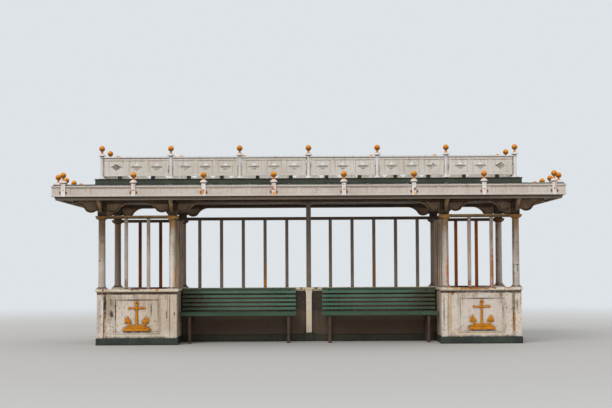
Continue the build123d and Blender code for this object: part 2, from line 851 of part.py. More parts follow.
def bench_slats():
    """The seat front, seat and back slats of the bench at the front on the right."""
    ends = (bench_inner_end, bench_outer_end)
    slats = [block(*ends, -bench_front, -bearer_front, seat_height - front_board_height, seat_height)]
    seat_pitch = (bearer_front - seat_back_edge) / seat_slat_count
    for index in range(seat_slat_count):
        y = -seat_back_edge - seat_pitch * (index + 0.5)
        slats.append(block(*ends, y - seat_slat_width / 2, y + seat_slat_width / 2, bearer_top, seat_height))
    length, middle = bench_outer_end - back_inner_end, (back_inner_end + bench_outer_end) / 2
    back = Plane(origin=(middle, -back_foot, seat_height), x_dir=(1, 0, 0), z_dir=(0, -lean_z, lean_y))
    back_top = back_height / lean_z
    rows = [(back_top - top_slat_height / 2, top_slat_height)]
    for index in range(back_slat_count):
        rows.append((back_top - back_slat_drop - back_slat_pitch * index, back_slat_height))
    for rise, height in rows:
        slats.append(back * Pos(0, rise, back_slat_thickness / 2) * Box(length, height, back_slat_thickness))
    return slats


right_slats = bench_slats()
left_slats = [mirror(slat, Plane.YZ) for slat in right_slats]
for hand, slats in (("left", left_slats), ("right", right_slats)):
    write(f"front_{hand}_bench_slats", *slats)
    write(f"rear_{hand}_bench_slats", *[mirror(slat, Plane.XZ) for slat in slats])
supports = [copy for x in (inner_support, outer_support) for copy in on_both_ends(bench_support(x))]
write("front_bench_supports", *supports)
write("rear_bench_supports", *[mirror(support, Plane.XZ) for support in supports])


# A gilded anchor over a wave, on the panels of the end bays
def wave():
    """A row of crests on a straight foot, which starts on the origin."""
    crest, reach = ornament_width / wave_crest_count, ornament_width / 2
    arcs = []
    for index in range(wave_crest_count):
        left, right = crest * index - reach, crest * (index + 1) - reach
        arcs.append(ThreePointArc((left, wave_dip), ((left + right) / 2, wave_height), (right, wave_dip)))
    return drawn(*arcs, Polyline((reach, wave_dip), (reach, 0), (-reach, 0), (-reach, wave_dip)))


def anchor():
    """The flat outline of the ornament, about its own middle."""
    half, bar, radius = ornament_height / 2, ornament_bar, anchor_arm_radius
    foot = anchor_seat - half
    ring_middle = half - anchor_ring
    arm_middle = foot + bar / 2 + radius
    shank = Pos(0, (ring_middle + foot) / 2) * Rectangle(bar, ring_middle - foot)
    ring = Circle(anchor_ring) - Circle(anchor_ring - anchor_ring_bar)
    stock = Pos(0, ring_middle - anchor_stock_drop) * Rectangle(anchor_stock_width, bar)
    arms = Pos(0, arm_middle) * (Circle(radius) - Circle(radius - bar))
    arms &= Pos(0, arm_middle - radius / 2 - bar) * Rectangle(ornament_width, radius)
    shape = shank + Pos(0, ring_middle) * ring + stock + arms
    fluke_height = arm_middle - bar
    for side in (-1, 1):
        barb = (side * ornament_width / 2, fluke_height - fluke_barb_drop)
        tip = (side * (radius - bar / 2), fluke_height + fluke_tip_rise)
        inner = (side * (radius - fluke_depth), fluke_height - bar)
        shape += make_face(Polyline(barb, tip, inner, close=True))
    return shape + Pos(0, -half) * wave()


ornament = extrude(panel_face * anchor(), ornament_thickness)
write("panel_ornaments", *at_four_corners(ornament))
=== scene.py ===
import math
import random

import bmesh
import bpy
from mathutils import Matrix, Vector


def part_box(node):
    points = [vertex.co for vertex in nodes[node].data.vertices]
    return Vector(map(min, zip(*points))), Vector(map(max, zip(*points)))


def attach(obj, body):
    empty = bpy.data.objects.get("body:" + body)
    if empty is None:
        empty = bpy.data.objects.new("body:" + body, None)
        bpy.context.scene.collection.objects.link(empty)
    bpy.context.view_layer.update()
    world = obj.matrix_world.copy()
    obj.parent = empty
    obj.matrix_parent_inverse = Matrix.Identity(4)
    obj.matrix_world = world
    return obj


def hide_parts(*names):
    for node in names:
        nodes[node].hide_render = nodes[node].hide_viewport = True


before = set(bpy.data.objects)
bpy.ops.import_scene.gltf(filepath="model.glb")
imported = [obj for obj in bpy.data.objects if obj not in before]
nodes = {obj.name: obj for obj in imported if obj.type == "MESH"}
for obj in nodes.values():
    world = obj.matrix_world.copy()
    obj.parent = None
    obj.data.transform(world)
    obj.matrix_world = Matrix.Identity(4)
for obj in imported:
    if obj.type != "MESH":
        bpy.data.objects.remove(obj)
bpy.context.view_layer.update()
random.seed(21)
print("frame loaded:", len(nodes), "nodes")

# Lines that the whole shelter hangs on, read from the frame
columnLow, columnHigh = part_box("front_inner_right_column")
outerLow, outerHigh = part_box("front_outer_right_column")
ceilingLow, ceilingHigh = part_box("ceiling")
deckLow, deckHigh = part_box("roof_deck")
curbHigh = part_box("roof_curb")[1]
innerX = (columnLow.x + columnHigh.x) / 2
outerX = (outerLow.x + outerHigh.x) / 2
lineY = -(columnLow.y + columnHigh.y) / 2
columnXs = (-outerX, -innerX, innerX, outerX)

# Camera: where the photograph was taken from
cameraSetting = dict(place=(-0.130, -24.5, 1.299), lens=81.6, yaw=0.205, pitch=2.60, roll=-0.291)


def addCamera(setting):
    yaw, pitch, roll = (math.radians(setting[key]) for key in ("yaw", "pitch", "roll"))
    ahead = Vector((math.sin(yaw) * math.cos(pitch), math.cos(yaw) * math.cos(pitch), math.sin(pitch)))
    right = Vector((math.cos(yaw), -math.sin(yaw), 0))
    up = right.cross(ahead)
    across = right * math.cos(roll) + up * math.sin(roll)
    upward = up * math.cos(roll) - right * math.sin(roll)
    turned = Matrix((across, upward, -ahead)).transposed().to_4x4()
    data = bpy.data.cameras.new("photoCamera")
    data.lens, data.sensor_width, data.sensor_fit = setting["lens"], 36, "HORIZONTAL"
    camera = bpy.data.objects.new("photoCamera", data)
    camera.matrix_world = Matrix.Translation(setting["place"]) @ turned
    bpy.context.scene.collection.objects.link(camera)
    bpy.context.scene.camera = camera


def paint(tone):  # a colour as it is seen on screen, 0 to 255
    return tuple(((value / 255 + 0.055) / 1.055) ** 2.4 for value in tone) + (1,)


# Node helpers
class Wire:  # one output of a node; sums of wires put Math nodes in
    def __init__(self, socket):
        self.socket, self.tree = socket, socket.id_data

    def __add__(self, other):
        return calc("ADD", self, other)

    def __sub__(self, other):
        return calc("SUBTRACT", self, other)

    def __rsub__(self, other):
        return calc("SUBTRACT", other, self)

    def __mul__(self, other):
        return calc("MULTIPLY", self, other)

    def into(self, socket):
        self.tree.links.new(self.socket, socket)


class Outlets:  # all outputs of a node, as wires
    def __init__(self, node):
        self.node = node

    def __getitem__(self, key):
        return Wire(self.node.outputs[key])


def addNode(tree, kind, inputs=None, **settings):
    made = tree.nodes.new("ShaderNode" + kind)
    for key, value in settings.items():
        setattr(made, key, value)
    for key, value in (inputs or {}).items():
        if isinstance(value, Wire):
            value.into(made.inputs[key])
        else:
            made.inputs[key].default_value = value
    return Outlets(made)


def calc(operation, first, second=0.0, clamp=False):
    tree = (first if isinstance(first, Wire) else second).tree
    return addNode(tree, "Math", {0: first, 1: second}, operation=operation, use_clamp=clamp)[0]


def vectorCalc(operation, *values, output=0):
    return addNode(values[0].tree, "VectorMath", dict(enumerate(values)), operation=operation)[output]


def coordinate(vector, axis):
    return addNode(vector.tree, "SeparateXYZ", {0: vector})[axis]


def ramp(value, low, high, toLow=0.0, toHigh=1.0):
    inputs = {0: value, 1: low, 2: high, 3: toLow, 4: toHigh}
    return addNode(value.tree, "MapRange", inputs, interpolation_type="SMOOTHSTEP")[0]


def mixColour(factor, first, second):
    return addNode(factor.tree, "Mix", {0: factor, 6: first, 7: second}, data_type="RGBA")[2]


def noise(where, scale, detail, roughness=0.55):
    inputs = {"Vector": where, "Scale": scale, "Detail": detail, "Roughness": roughness}
    return addNode(where.tree, "TexNoise", inputs)["Fac"]


def sharedEffect(*outputs, **inputs):  # turns the function below it into a node group, with Vector first
    def build(describe):
        group = bpy.data.node_groups.new(describe.__name__, "ShaderNodeTree")
        kinds = {3: "NodeSocketVector", 4: "NodeSocketColor"}
        for label, value in {"Vector": (0, 0, 0), **inputs}.items():
            kind = kinds[len(value)] if isinstance(value, tuple) else "NodeSocketFloat"
            group.interface.new_socket(label, in_out="INPUT", socket_type=kind).default_value = value
        for label in outputs:
            kind = "NodeSocketColor" if label == "Color" else "NodeSocketFloat"
            group.interface.new_socket(label, in_out="OUTPUT", socket_type=kind)
        given = Outlets(group.nodes.new("NodeGroupInput"))
        results = describe(*[given[label] for label in ("Vector", *inputs)])
        sockets = group.nodes.new("NodeGroupOutput").inputs
        for label, wire in zip(outputs, results if isinstance(results, tuple) else [results]):
            wire.into(sockets[label])
        return group

    return build


# Effects that several materials share
@sharedEffect("Color", "Wear", Paint=(1, 1, 1, 1), Faded=(1, 1, 1, 1), Patches=1.4, Mottle=0.2)
def paintCoat(where, fresh, faded, scale, mottle):  # paint that has faded in patches, with a fine mottle
    patches = ramp(noise(where, scale, 6, 0.62), 0.38, 0.62)
    swing = (noise(where, scale * 17, 5, 0.6) - 0.5) * mottle
    base = mixColour(patches, fresh, faded)
    toned = addNode(where.tree, "HueSaturation", {"Value": swing * 2 + 1, "Color": base})[0]
    return toned, calc("ADD", patches * 0.6, swing, clamp=True)


@sharedEffect("Height", "Lines", Stretch=(1, 1, 1), Scale=40)
def surfaceGrain(where, stretch, scale):  # a relief of noise, stretched along brush marks or timber
    stretched = vectorCalc("MULTIPLY", where, stretch)
    fine = noise(stretched, scale * 5, 3, 0.6)
    return noise(stretched, scale, 6, 0.6) * 0.7 + fine * 0.3, ramp(fine, 0.52, 0.7)


@sharedEffect("Mask", Distance=0.05, Amount=1, Scale=9)
def cornerShadeAndGrime(where, distance, amount, scale):  # painted shade and gathered dirt where surfaces shelter each other, from ambient occlusion broken by noise
    hidden = 1 - addNode(where.tree, "AmbientOcclusion", {"Distance": distance}, samples=6)["AO"]
    broken = ramp(noise(where, scale, 6, 0.65), 0.3, 0.7, 0.35, 1.5)
    return ramp(hidden * broken * amount, 0.08, 0.75)


@sharedEffect("Mask", Radius=0.006, Amount=1, Scale=45)
def edgeWearAndHighlight(where, radius, amount, scale):  # chips along edges, where a rounded normal leaves the true one; a light tone makes them painted highlight along the edge as well
    rounded = addNode(where.tree, "Bevel", {"Radius": radius}, samples=4)[0]
    flat = addNode(where.tree, "NewGeometry")["Normal"]
    edge = ramp(1 - vectorCalc("DOT_PRODUCT", rounded, flat, output="Value"), 0.015, 0.16)
    chips = ramp(noise(where, scale, 5, 0.7), 0.42, 0.6)
    stretches = ramp(noise(where, scale * 0.09, 2), 0.35, 0.7)
    return calc("MULTIPLY", edge * (chips * stretches), amount, clamp=True)


@sharedEffect("Mask", Top=1, Reach=0.3, Columns=14, Amount=1)
def weatherRuns(where, top, reach, columns, amount):  # streaks that run down from a ledge
    squeezed = vectorCalc("MULTIPLY", where, (1, 1, 0.06))
    streaks = ramp(noise(squeezed, columns, 5, 0.6), 0.5, 0.72)
    ragged = (noise(squeezed, 5, 2) - 0.5) * reach
    below = ramp(coordinate(where, "Z") + ragged, top - reach, top)
    return calc("MULTIPLY", streaks * below, amount, clamp=True)


@sharedEffect("Mask", "Color", Amount=0.3, Scale=6, Dark=paint((74, 42, 22)), Bright=paint((182, 114, 44)))
def rustPatches(where, amount, scale, dark, bright):  # blotches of rust where the paint has gone
    edge = 0.76 - amount * 0.3
    mask = ramp(noise(where, scale, 9, 0.68), edge, edge + 0.07)
    return mask, mixColour(ramp(noise(where, scale * 7, 5, 0.6), 0.35, 0.65), dark, bright)


@sharedEffect("Mask", Centre=(0, 0, 0), Size=(1, 1, 1), Scale=18)
def stainAndPaintedLightAt(where, centre, size, scale):  # one soft patch with a ragged edge, used for stains and also for painted shade and painted light
    shaped = vectorCalc("DIVIDE", vectorCalc("SUBTRACT", where, centre), size)
    ragged = (noise(where, scale, 5) - 0.5) * 1.3
    return ramp(vectorCalc("LENGTH", shaped, output="Value") + ragged, 1.0, 0.35)


@sharedEffect("Mask", Low=0, High=1, Soft=0.02, Ragged=0.01, Scale=9)
def heightBand(where, low, high, soft, ragged, scale):  # a band between two heights, with ragged edges
    swing = noise(where, scale, 5, 0.6) - 0.5
    height = coordinate(where, "Z") + swing * 3 * ragged
    return ramp(height, low - soft, low) * ramp(height, high + soft, high)


@sharedEffect("Mask", Amount=1)
def innerSideShade(where, amount):  # painted shade on faces that look in to the middle of the shelter, under the roof
    normal = coordinate(addNode(where.tree, "NewGeometry")["Normal"], "Y")
    outward = calc("SIGN", coordinate(where, "Y")) * normal
    return ramp(outward + (noise(where, 6, 4) - 0.5) * 0.8, 0.6, -0.05) * amount


@sharedEffect("Mask", Amount=1, Level=0.1)
def shadeUnderneath(where, amount, level):  # painted shade on faces that look down
    normal = coordinate(addNode(where.tree, "NewGeometry")["Normal"], "Z")
    return ramp(normal + (noise(where, 30, 4) - 0.5) * 0.7, level, level - 0.8) * amount


@sharedEffect("Mask", Along=(1, 0, 0), Pitch=1, Width=0.02)
def spacedLines(where, along, pitch, width):  # upright dark lines at a pitch: rust and painted shade where panels meet posts, and painted shade between mullions
    run = calc("ABSOLUTE", vectorCalc("DOT_PRODUCT", where, along, output="Value"))
    ragged = (noise(where, 14, 5) - 0.5) * width
    return ramp(calc("PINGPONG", run, pitch * 0.5) + ragged, width, width * 0.7)


@sharedEffect("Mask", Scale=60, Level=0.64)
def speckle(where, scale, level):  # small flecks where paint has flaked
    fields = ramp(noise(where, scale * 0.06, 3), 0.42, 0.6)
    return ramp(noise(where, scale, 4, 0.6), level, level + 0.05) * fields


@sharedEffect("Mask", Scale=5, Width=0.012)
def hairCracks(where, scale, width):  # crazed lines in old paint on render
    wobble = addNode(where.tree, "TexNoise", {"Vector": where, "Scale": 9, "Detail": 4})["Color"]
    bent = vectorCalc("MULTIPLY_ADD", wobble, (0.09, 0.09, 0.09), where)
    cells = addNode(where.tree, "TexVoronoi", {"Vector": bent, "Scale": scale}, feature="DISTANCE_TO_EDGE")
    return ramp(cells["Distance"], width, 0.0) * ramp(noise(where, 2.3, 3), 0.5, 0.62)


print("shared effects ready")

# What a finish has unless its own look says otherwise
usualLook = dict(
    mottle=0.2, stretch=(1, 1, 1), grain=50, relief=0.5, bump=0.35, depth=0.002, specular=0.22, coat=0,
    roughness=(0.5, 0.85), joints=(), bands=(), runs=(), specks=(), stains=(),
)


def agedFinish(name, look):
    look = {**usualLook, **look}
    material = bpy.data.materials.new(name)
    material.use_nodes = True
    tree = material.node_tree
    shader = tree.nodes["Principled BSDF"].inputs
    where = addNode(tree, "TexCoord")["Object"]

    def lay(group, *values):  # the group's values, in its own order
        return addNode(tree, "Group", dict(enumerate((where, *values))), node_tree=group)

    def tinted(mask, tone):
        return mixColour(mask, colour, paint(tone))

    coat = lay(paintCoat, paint(look["paint"]), paint(look["faded"]), look["patch"], look["mottle"])
    grain = lay(surfaceGrain, look["stretch"], look["grain"])
    colour, dull, height = coat["Color"], coat["Wear"], grain["Height"] * look["relief"]
    if "lines" in look:
        tone, strength = look["lines"]
        colour = tinted(grain["Lines"] * strength, tone)
    if "cracks" in look:
        tone, *values = look["cracks"]
        crack = lay(hairCracks, *values)["Mask"]
        colour, height = tinted(crack * 0.75, tone), height - crack
    # faces turned in to the shelter, and faces that look down, get painted shade
    for key, group in (("inside", innerSideShade), ("under", shadeUnderneath)):
        if key in look:
            tone, *values = look[key]
            colour = tinted(lay(group, *values)["Mask"], tone)
    for key, group in (("joints", spacedLines), ("bands", heightBand)):
        for tone, strength, *values in look[key]:
            colour = tinted(lay(group, *values)["Mask"] * strength, tone)
    for tone, amount, *values in look["runs"]:
        run = lay(weatherRuns, *values, amount)["Mask"]
        colour, dull = tinted(run, tone), calc("MAXIMUM", dull, run)
    # corner darkening: painted shade in corners and recesses, with gathered dirt
    if "grime" in look:
        tone, amount, distance = look["grime"]
        shadeAndDirt = lay(cornerShadeAndGrime, distance, amount)["Mask"]
        colour, dull = tinted(shadeAndDirt, tone), calc("MAXIMUM", dull, shadeAndDirt)
    for tone, strength, *values in look["specks"]:
        flecks = lay(speckle, *values)["Mask"]
        colour, height = tinted(flecks * strength, tone), height - flecks * 0.4
    if "rust" in look:
        rust = lay(rustPatches, *look["rust"])
        patch = rust["Mask"]
        colour, dull = mixColour(patch, colour, rust["Color"]), calc("MAXIMUM", dull, patch)
        height = height - patch * 0.5
    if "edges" in look:
        tone, amount, radius = look["edges"]
        wornAndLitEdge = lay(edgeWearAndHighlight, radius, amount)["Mask"]
        colour, dull = tinted(wornAndLitEdge, tone), calc("MAXIMUM", dull, wornAndLitEdge)
        height = height - wornAndLitEdge * 0.6
    for tone, strength, *values in look["stains"]:
        colour = tinted(lay(stainAndPaintedLightAt, *values)["Mask"] * strength, tone)
    colour.into(shader["Base Color"])
    ramp(dull, 0, 1, *look["roughness"]).into(shader["Roughness"])
    bump = addNode(tree, "Bump", {"Height": height, "Strength": look["bump"], "Distance": look["depth"]})[0]
    bump.into(shader["Normal"])
    shader["Specular IOR Level"].default_value = look["specular"]
    shader["Coat Weight"].default_value = look["coat"]
    return material


def finishes(setting, *names):
    return [agedFinish(name, setting[name]) for name in names]


def faceStainsAndPaintedLight(y, depth, *rows):  # stains, painted shade and painted light on upright faces; a row is tone, strength, x, z, width and height
    return [(tone, strength, (x, y, z), (width, depth, height))
            for tone, strength, x, z, width, height in rows]


# Light and floor
studioSetting = dict(
    backdrop=(222, 227, 231), floor=(206, 203, 198), ambient=0.62, skyTint=(0.96, 0.98, 1, 1), sun=1.25,
    sunSpread=38, sunTurn=(52, 0, -28), floorSize=160, floorLevel=-0.001, floorRoughness=0.9, fadeFrom=7,
    fadeTo=24,
)


def addStudio(setting):
    world = bpy.data.worlds.new("softStudio")
    world.use_nodes = True
    bpy.context.scene.world = world
    tree = world.node_tree
    tree.nodes.clear()
    rays = addNode(tree, "LightPath")
    mirrored = calc("MAXIMUM", rays["Is Glossy Ray"], rays["Is Transmission Ray"])
    seen = calc("MAXIMUM", rays["Is Camera Ray"], mirrored)
    ambient = addNode(tree, "Background", {"Color": setting["skyTint"], "Strength": setting["ambient"]})[0]
    shown = addNode(tree, "Background", {"Color": paint(setting["backdrop"]), "Strength": 1})[0]
    addNode(tree, "OutputWorld", {"Surface": addNode(tree, "MixShader", {0: seen, 1: ambient, 2: shown})[0]})
    lamp = bpy.data.lights.new("softSun", "SUN")
    lamp.energy, lamp.angle = setting["sun"], math.radians(setting["sunSpread"])
    sun = bpy.data.objects.new("softSun", lamp)
    sun.rotation_euler = [math.radians(angle) for angle in setting["sunTurn"]]
    bpy.context.scene.collection.objects.link(sun)

    bpy.ops.mesh.primitive_grid_add(
        x_subdivisions=4, y_subdivisions=4, size=setting["floorSize"], location=(0, 0, setting["floorLevel"]))
    floor = bpy.context.object
    floor.name = "studioFloor"
    material = bpy.data.materials.new("studioFloor")
    material.use_nodes = True
    tree = material.node_tree
    shader = tree.nodes["Principled BSDF"]
    shader.inputs["Base Color"].default_value = paint(setting["floor"])
    shader.inputs["Roughness"].default_value = setting["floorRoughness"]
    away = vectorCalc("LENGTH", addNode(tree, "TexCoord")["Object"], output="Value")
    fade = ramp(away, setting["fadeFrom"], setting["fadeTo"])
    far = addNode(tree, "Emission", {"Color": paint(setting["backdrop"]), "Strength": 1})[0]
    mixed = addNode(tree, "MixShader", {0: fade, 1: Wire(shader.outputs[0]), 2: far})[0]
    mixed.into(tree.nodes["Material Output"].inputs["Surface"])
    floor.data.materials.append(material)


addCamera(cameraSetting)
addStudio(studioSetting)
bpy.context.scene.view_settings.view_transform = "Standard"
print("camera, light and floor ready")


# Mesh helpers
def join(mesh, lower, upper):
    if len(lower) == 1 or len(upper) == 1:
        tip, rim = (lower[0], upper) if len(lower) == 1 else (upper[0], lower[::-1])
        for here, there in zip(rim, rim[1:] + rim[:1]):
            mesh.faces.new((tip, there, here))
        return
    for index in range(len(lower)):
        after = (index + 1) % len(lower)
        mesh.faces.new((lower[index], lower[after], upper[after], upper[index]))


def stack(mesh, rings):  # rings joined one to the next, closed at both ends
    for lower, upper in zip(rings, rings[1:]):
        join(mesh, lower, upper)
    if len(rings[0]) > 1:
        mesh.faces.new(rings[0][::-1])
    if len(rings[-1]) > 1:
        mesh.faces.new(rings[-1])


def turn(mesh, profile, x, y, count):  # a lathe: profile is (radius, height) from the foot up
    rings = []
    for radius, height in profile:
        if radius < 1e-5:
            rings.append([mesh.verts.new((x, y, height))])
            continue
        rings.append([
            mesh.verts.new((x + radius * math.cos(a), y + radius * math.sin(a), height))
            for a in [2 * math.pi * index / count for index in range(count)]
        ])
    stack(mesh, rings)


def bend(start, control, end, steps):  # points of a curve, without its start
    return [tuple(a * (1 - t) ** 2 + 2 * b * t * (1 - t) + c * t ** 2 for a, b, c in zip(start, control, end))
            for t in [index / steps for index in range(1, steps + 1)]]


def arc(start, middle, end, steps):  # like bend, but the curve passes through the middle point
    control = [2 * m - (a + b) / 2 for a, m, b in zip(start, middle, end)]
    return bend(start, control, end, steps)


def solidBox(mesh, low, high):
    corners = [
        mesh.verts.new((x, y, z)) for z in (low[2], high[2])
        for x, y in ((low[0], low[1]), (high[0], low[1]), (high[0], high[1]), (low[0], high[1]))
    ]
    foot, head = corners[:4], corners[4:]
    mesh.faces.new(foot[::-1])
    mesh.faces.new(head)
    join(mesh, foot, head)


def softenEdges(mesh, width, segments=2, angle=28):
    limit = math.radians(angle)
    sharp = [edge for edge in mesh.edges if len(edge.link_faces) == 2 and edge.calc_face_angle(0) > limit]
    bmesh.ops.bevel(mesh, geom=sharp, offset=width, offset_type="OFFSET", segments=segments, profile=0.6,
                    affect="EDGES", clamp_overlap=True)


def sweep(mesh, path, radius, sides):  # a round bar along a path, thinner where radius says so
    path = [Vector(point) for point in path]
    rings = []
    for index, point in enumerate(path):
        ahead = (path[min(index + 1, len(path) - 1)] - path[max(index - 1, 0)]).normalized()
        side = ahead.cross(Vector((0.13, 0.31, 0.94))).normalized()
        up = side.cross(ahead)
        reach = radius(index / (len(path) - 1)) if callable(radius) else radius
        angles = [2 * math.pi * step / sides for step in range(sides)]
        ring = [point + side * math.cos(a) * reach + up * math.sin(a) * reach for a in angles]
        rings.append([mesh.verts.new(place) for place in ring])
    stack(mesh, rings)


def boltHead(mesh, place, axis, radius, rise, sides=8):  # a domed head that faces along axis
    turned = Vector((0, 0, 1)).rotation_difference(Vector(axis)).to_matrix()
    before = set(mesh.verts)
    turn(mesh, [(radius, 0), (radius, rise * 0.35), (radius * 0.72, rise * 0.8), (0, rise)], 0, 0, sides)
    for vert in set(mesh.verts) - before:
        vert.co = turned @ vert.co + Vector(place)


def cadMesh(name, edge=0, **options):  # a CAD node's mesh, with its edges softened
    mesh = bmesh.new()
    mesh.from_mesh(nodes[name].data)
    bmesh.ops.remove_doubles(mesh, verts=mesh.verts, dist=0.00002)
    bmesh.ops.dissolve_limit(mesh, angle_limit=math.radians(1.5), verts=mesh.verts, edges=mesh.edges)
    if edge:
        softenEdges(mesh, edge, **options)
    return mesh


def nodeParts(name):  # middle and low height of each loose solid of a CAD node
    mesh = cadMesh(name)
    left = set(mesh.verts)
    places = []
    while left:
        group, edge = set(), [left.pop()]
        while edge:
            vert = edge.pop()
            group.add(vert)
            for other in [link.other_vert(vert) for link in vert.link_edges]:
                if other in left:
                    left.discard(other)
                    edge.append(other)
        xs, ys, zs = ([vert.co[axis] for vert in group] for axis in range(3))
        places.append(((min(xs) + max(xs)) / 2, (min(ys) + max(ys)) / 2, min(zs)))
    mesh.free()
    return sorted(places)


def makePiece(name, mesh, materials, replaced=(), rule=None, smooth=35):
    bmesh.ops.recalc_face_normals(mesh, faces=mesh.faces)
    limit = math.radians(smooth)
    for edge in mesh.edges:
        edge.smooth = len(edge.link_faces) == 2 and edge.calc_face_angle(0) < limit
    for face in mesh.faces:
        face.smooth = True
        if rule:
            face.material_index = rule(face.calc_center_median(), face.normal)
    data = bpy.data.meshes.new(name)
    mesh.to_mesh(data)
    mesh.free()
    for material in materials:
        data.materials.append(material)
    piece = bpy.data.objects.new(name, data)
    bpy.context.scene.collection.objects.link(piece)
    weighted = piece.modifiers.new("flatFaces", "WEIGHTED_NORMAL")
    weighted.keep_sharp = True
    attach(piece, "root")
    if replaced:
        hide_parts(*replaced)


def dressNodes(names, ending, edge, materials, rule=None):  # CAD nodes as they are, with softened edges
    for name in names:
        makePiece(name + ending, cadMesh(name, edge), materials, [name], rule)


# Dwarf walls: painted render over masonry, with a dark green skirting
wallCoat = dict(mottle=0.16, grain=70, relief=0.8, bump=0.45)
panelShade = (60, 46, 34)
wallSetting = dict(
    edge=0.005, spineEdge=0.003, skirtingTop=0.1155, pilasterHalf=0.06, pilasterFace=0.058, plinthHalf=0.08,
    plinthTop=0.151,
    creamRender=dict(
        wallCoat, paint=(210, 192, 170), faded=(234, 222, 209), patch=1.3, mottle=0.2, bump=0.5, depth=0.003,
        # the dark band just under the sill is partly painted shadow of the sill, partly dirt
        cracks=((62, 46, 34), 6, 0.016), bands=[((56, 43, 33), 0.9, 0.852, 0.89, 0.006, 0.007)],
        runs=[((116, 92, 64), 0.85, 0.9, 0.5, 15), ((190, 132, 74), 0.6, 0.9, 0.8, 27)],
        specks=[((80, 62, 46), 0.9, 64, 0.59), ((136, 112, 84), 0.7, 24, 0.57)],
        grime=((52, 41, 32), 1.9, 0.045), edges=((116, 80, 50), 1.0, 0.007), rust=(0.14, 7),
        roughness=(0.6, 0.9),
        # the panelShade rows along the raised panel mouldings are painted shadow, and the two pale rows along
        # the mouldings' foot at z 0.172 are painted highlight
        stains=faceStainsAndPaintedLight(
            -1.1, 0.2,
            ((104, 86, 66), 0.85, -2.353, 0.50, 0.010, 0.44), ((214, 178, 122), 0.7, -2.22, 0.5, 0.014, 0.42),
            ((112, 96, 78), 0.8, 2.353, 0.52, 0.009, 0.38), ((74, 60, 46), 0.9, -2.27, 0.52, 0.016, 0.05),
            ((226, 212, 190), 0.8, -2.88, 0.172, 0.60, 0.022), ((236, 206, 160), 0.8, 2.88, 0.172, 0.60, 0.022),
            ((216, 198, 176), 0.32, -2.90, 0.52, 0.60, 0.42), ((156, 144, 130), 0.5, -3.54, 0.50, 0.06, 0.50),
            ((150, 128, 100), 0.62, -3.36, 0.66, 0.12, 0.40), ((70, 54, 40), 1.0, -3.440, 0.68, 0.032, 0.32),
            ((152, 106, 52), 1.0, -3.455, 0.30, 0.022, 0.30), ((74, 64, 52), 0.95, -3.330, 0.52, 0.045, 0.075),
            ((120, 104, 82), 0.8, -3.34, 0.72, 0.020, 0.10), ((86, 72, 58), 0.85, -2.66, 0.60, 0.016, 0.14),
            ((96, 82, 66), 0.8, -2.40, 0.52, 0.016, 0.12), (panelShade, 1.0, -2.902, 0.757, 0.40, 0.012),
            (panelShade, 1.0, -3.262, 0.56, 0.011, 0.27), (panelShade, 0.9, -2.542, 0.58, 0.010, 0.24),
            ((224, 211, 200), 0.62, 2.90, 0.52, 0.80, 0.52), ((222, 178, 116), 0.8, 2.385, 0.48, 0.030, 0.42),
            ((128, 106, 84), 0.8, 2.268, 0.52, 0.020, 0.40), ((158, 138, 114), 0.6, 2.330, 0.46, 0.016, 0.40),
            ((222, 176, 116), 0.7, 2.42, 0.18, 0.05, 0.04), ((124, 108, 88), 0.85, 3.446, 0.72, 0.036, 0.26),
            ((84, 50, 28), 1.0, 3.440, 0.40, 0.020, 0.30), ((178, 122, 48), 0.9, 3.456, 0.36, 0.026, 0.24),
            ((190, 122, 48), 0.95, 3.572, 0.74, 0.022, 0.17), ((100, 86, 68), 0.85, 3.50, 0.66, 0.014, 0.16),
            ((124, 98, 66), 0.75, 3.08, 0.862, 0.05, 0.022), ((92, 68, 42), 0.85, 2.42, 0.85, 0.03, 0.05),
            (panelShade, 1.0, 2.902, 0.757, 0.40, 0.010), (panelShade, 0.95, 3.262, 0.56, 0.009, 0.22),
            (panelShade, 0.8, 2.542, 0.60, 0.009, 0.20), (panelShade, 0.8, 2.902, 0.213, 0.40, 0.009),
            ((110, 96, 80), 0.8, 3.32, 0.60, 0.014, 0.03),
        ),
    ),
    greenSkirting=dict(
        wallCoat, paint=(52, 58, 53), faded=(66, 73, 66), patch=2.4, grain=80, bump=0.5,
        grime=((44, 40, 34), 1.2, 0.05),
        edges=((120, 112, 96), 0.8, 0.006), runs=[((44, 42, 36), 0.8, 0.13, 0.12, 19)],
    ),
    brightPilaster=dict(
        wallCoat, paint=(250, 230, 200), faded=(252, 240, 220), patch=3, mottle=0.15, bump=0.4,
        roughness=(0.6, 0.9),
        grime=((120, 88, 52), 1.4, 0.03), edges=((214, 160, 84), 1.2, 0.010),
        specks=[((150, 120, 84), 0.7, 60, 0.6)],
        stains=[((228, 172, 90), 0.9, (sign * 0.056, 0, 0.5), (0.012, 0.4, 0.42)) for sign in (-1, 1)],
    ),
    brownPlinth=dict(
        wallCoat, paint=(60, 60, 50), faded=(74, 72, 60), patch=2.4, grain=80, bump=0.5,
        grime=((44, 40, 34), 1.2, 0.05),
        edges=((110, 98, 80), 0.8, 0.006),
    ),
    innerRender=dict(
        wallCoat, paint=(200, 182, 160), faded=(216, 199, 179), patch=1.7, grime=((96, 82, 66), 0.9, 0.05),
        edges=((150, 124, 92), 0.8, 0.006), runs=[((70, 56, 44), 0.8, 0.9, 0.8, 15)],
        specks=[((64, 52, 42), 0.8, 50, 0.6)],
    ),
    brownRender=dict(
        wallCoat, paint=(70, 60, 52), faded=(82, 71, 60), patch=1.7,
        bands=[((104, 86, 70), 0.8, 0.14, 0.50, 0.06, 0.02)],
        # the lighter, redder patches behind each bench back are painted light that lifts the deep shade behind
        # the slats
        stains=[((150, 104, 90), 1.0, (sign * 1.2, 0, 0.73), (1.1, 0.5, 0.30)) for sign in (-1, 1)],
        grime=((38, 32, 27), 1.3, 0.08), edges=((104, 88, 70), 0.6, 0.006),
        runs=[((44, 38, 32), 0.8, 0.9, 0.8, 15), ((96, 82, 66), 0.35, 0.5, 0.5, 23)],
    ),
)


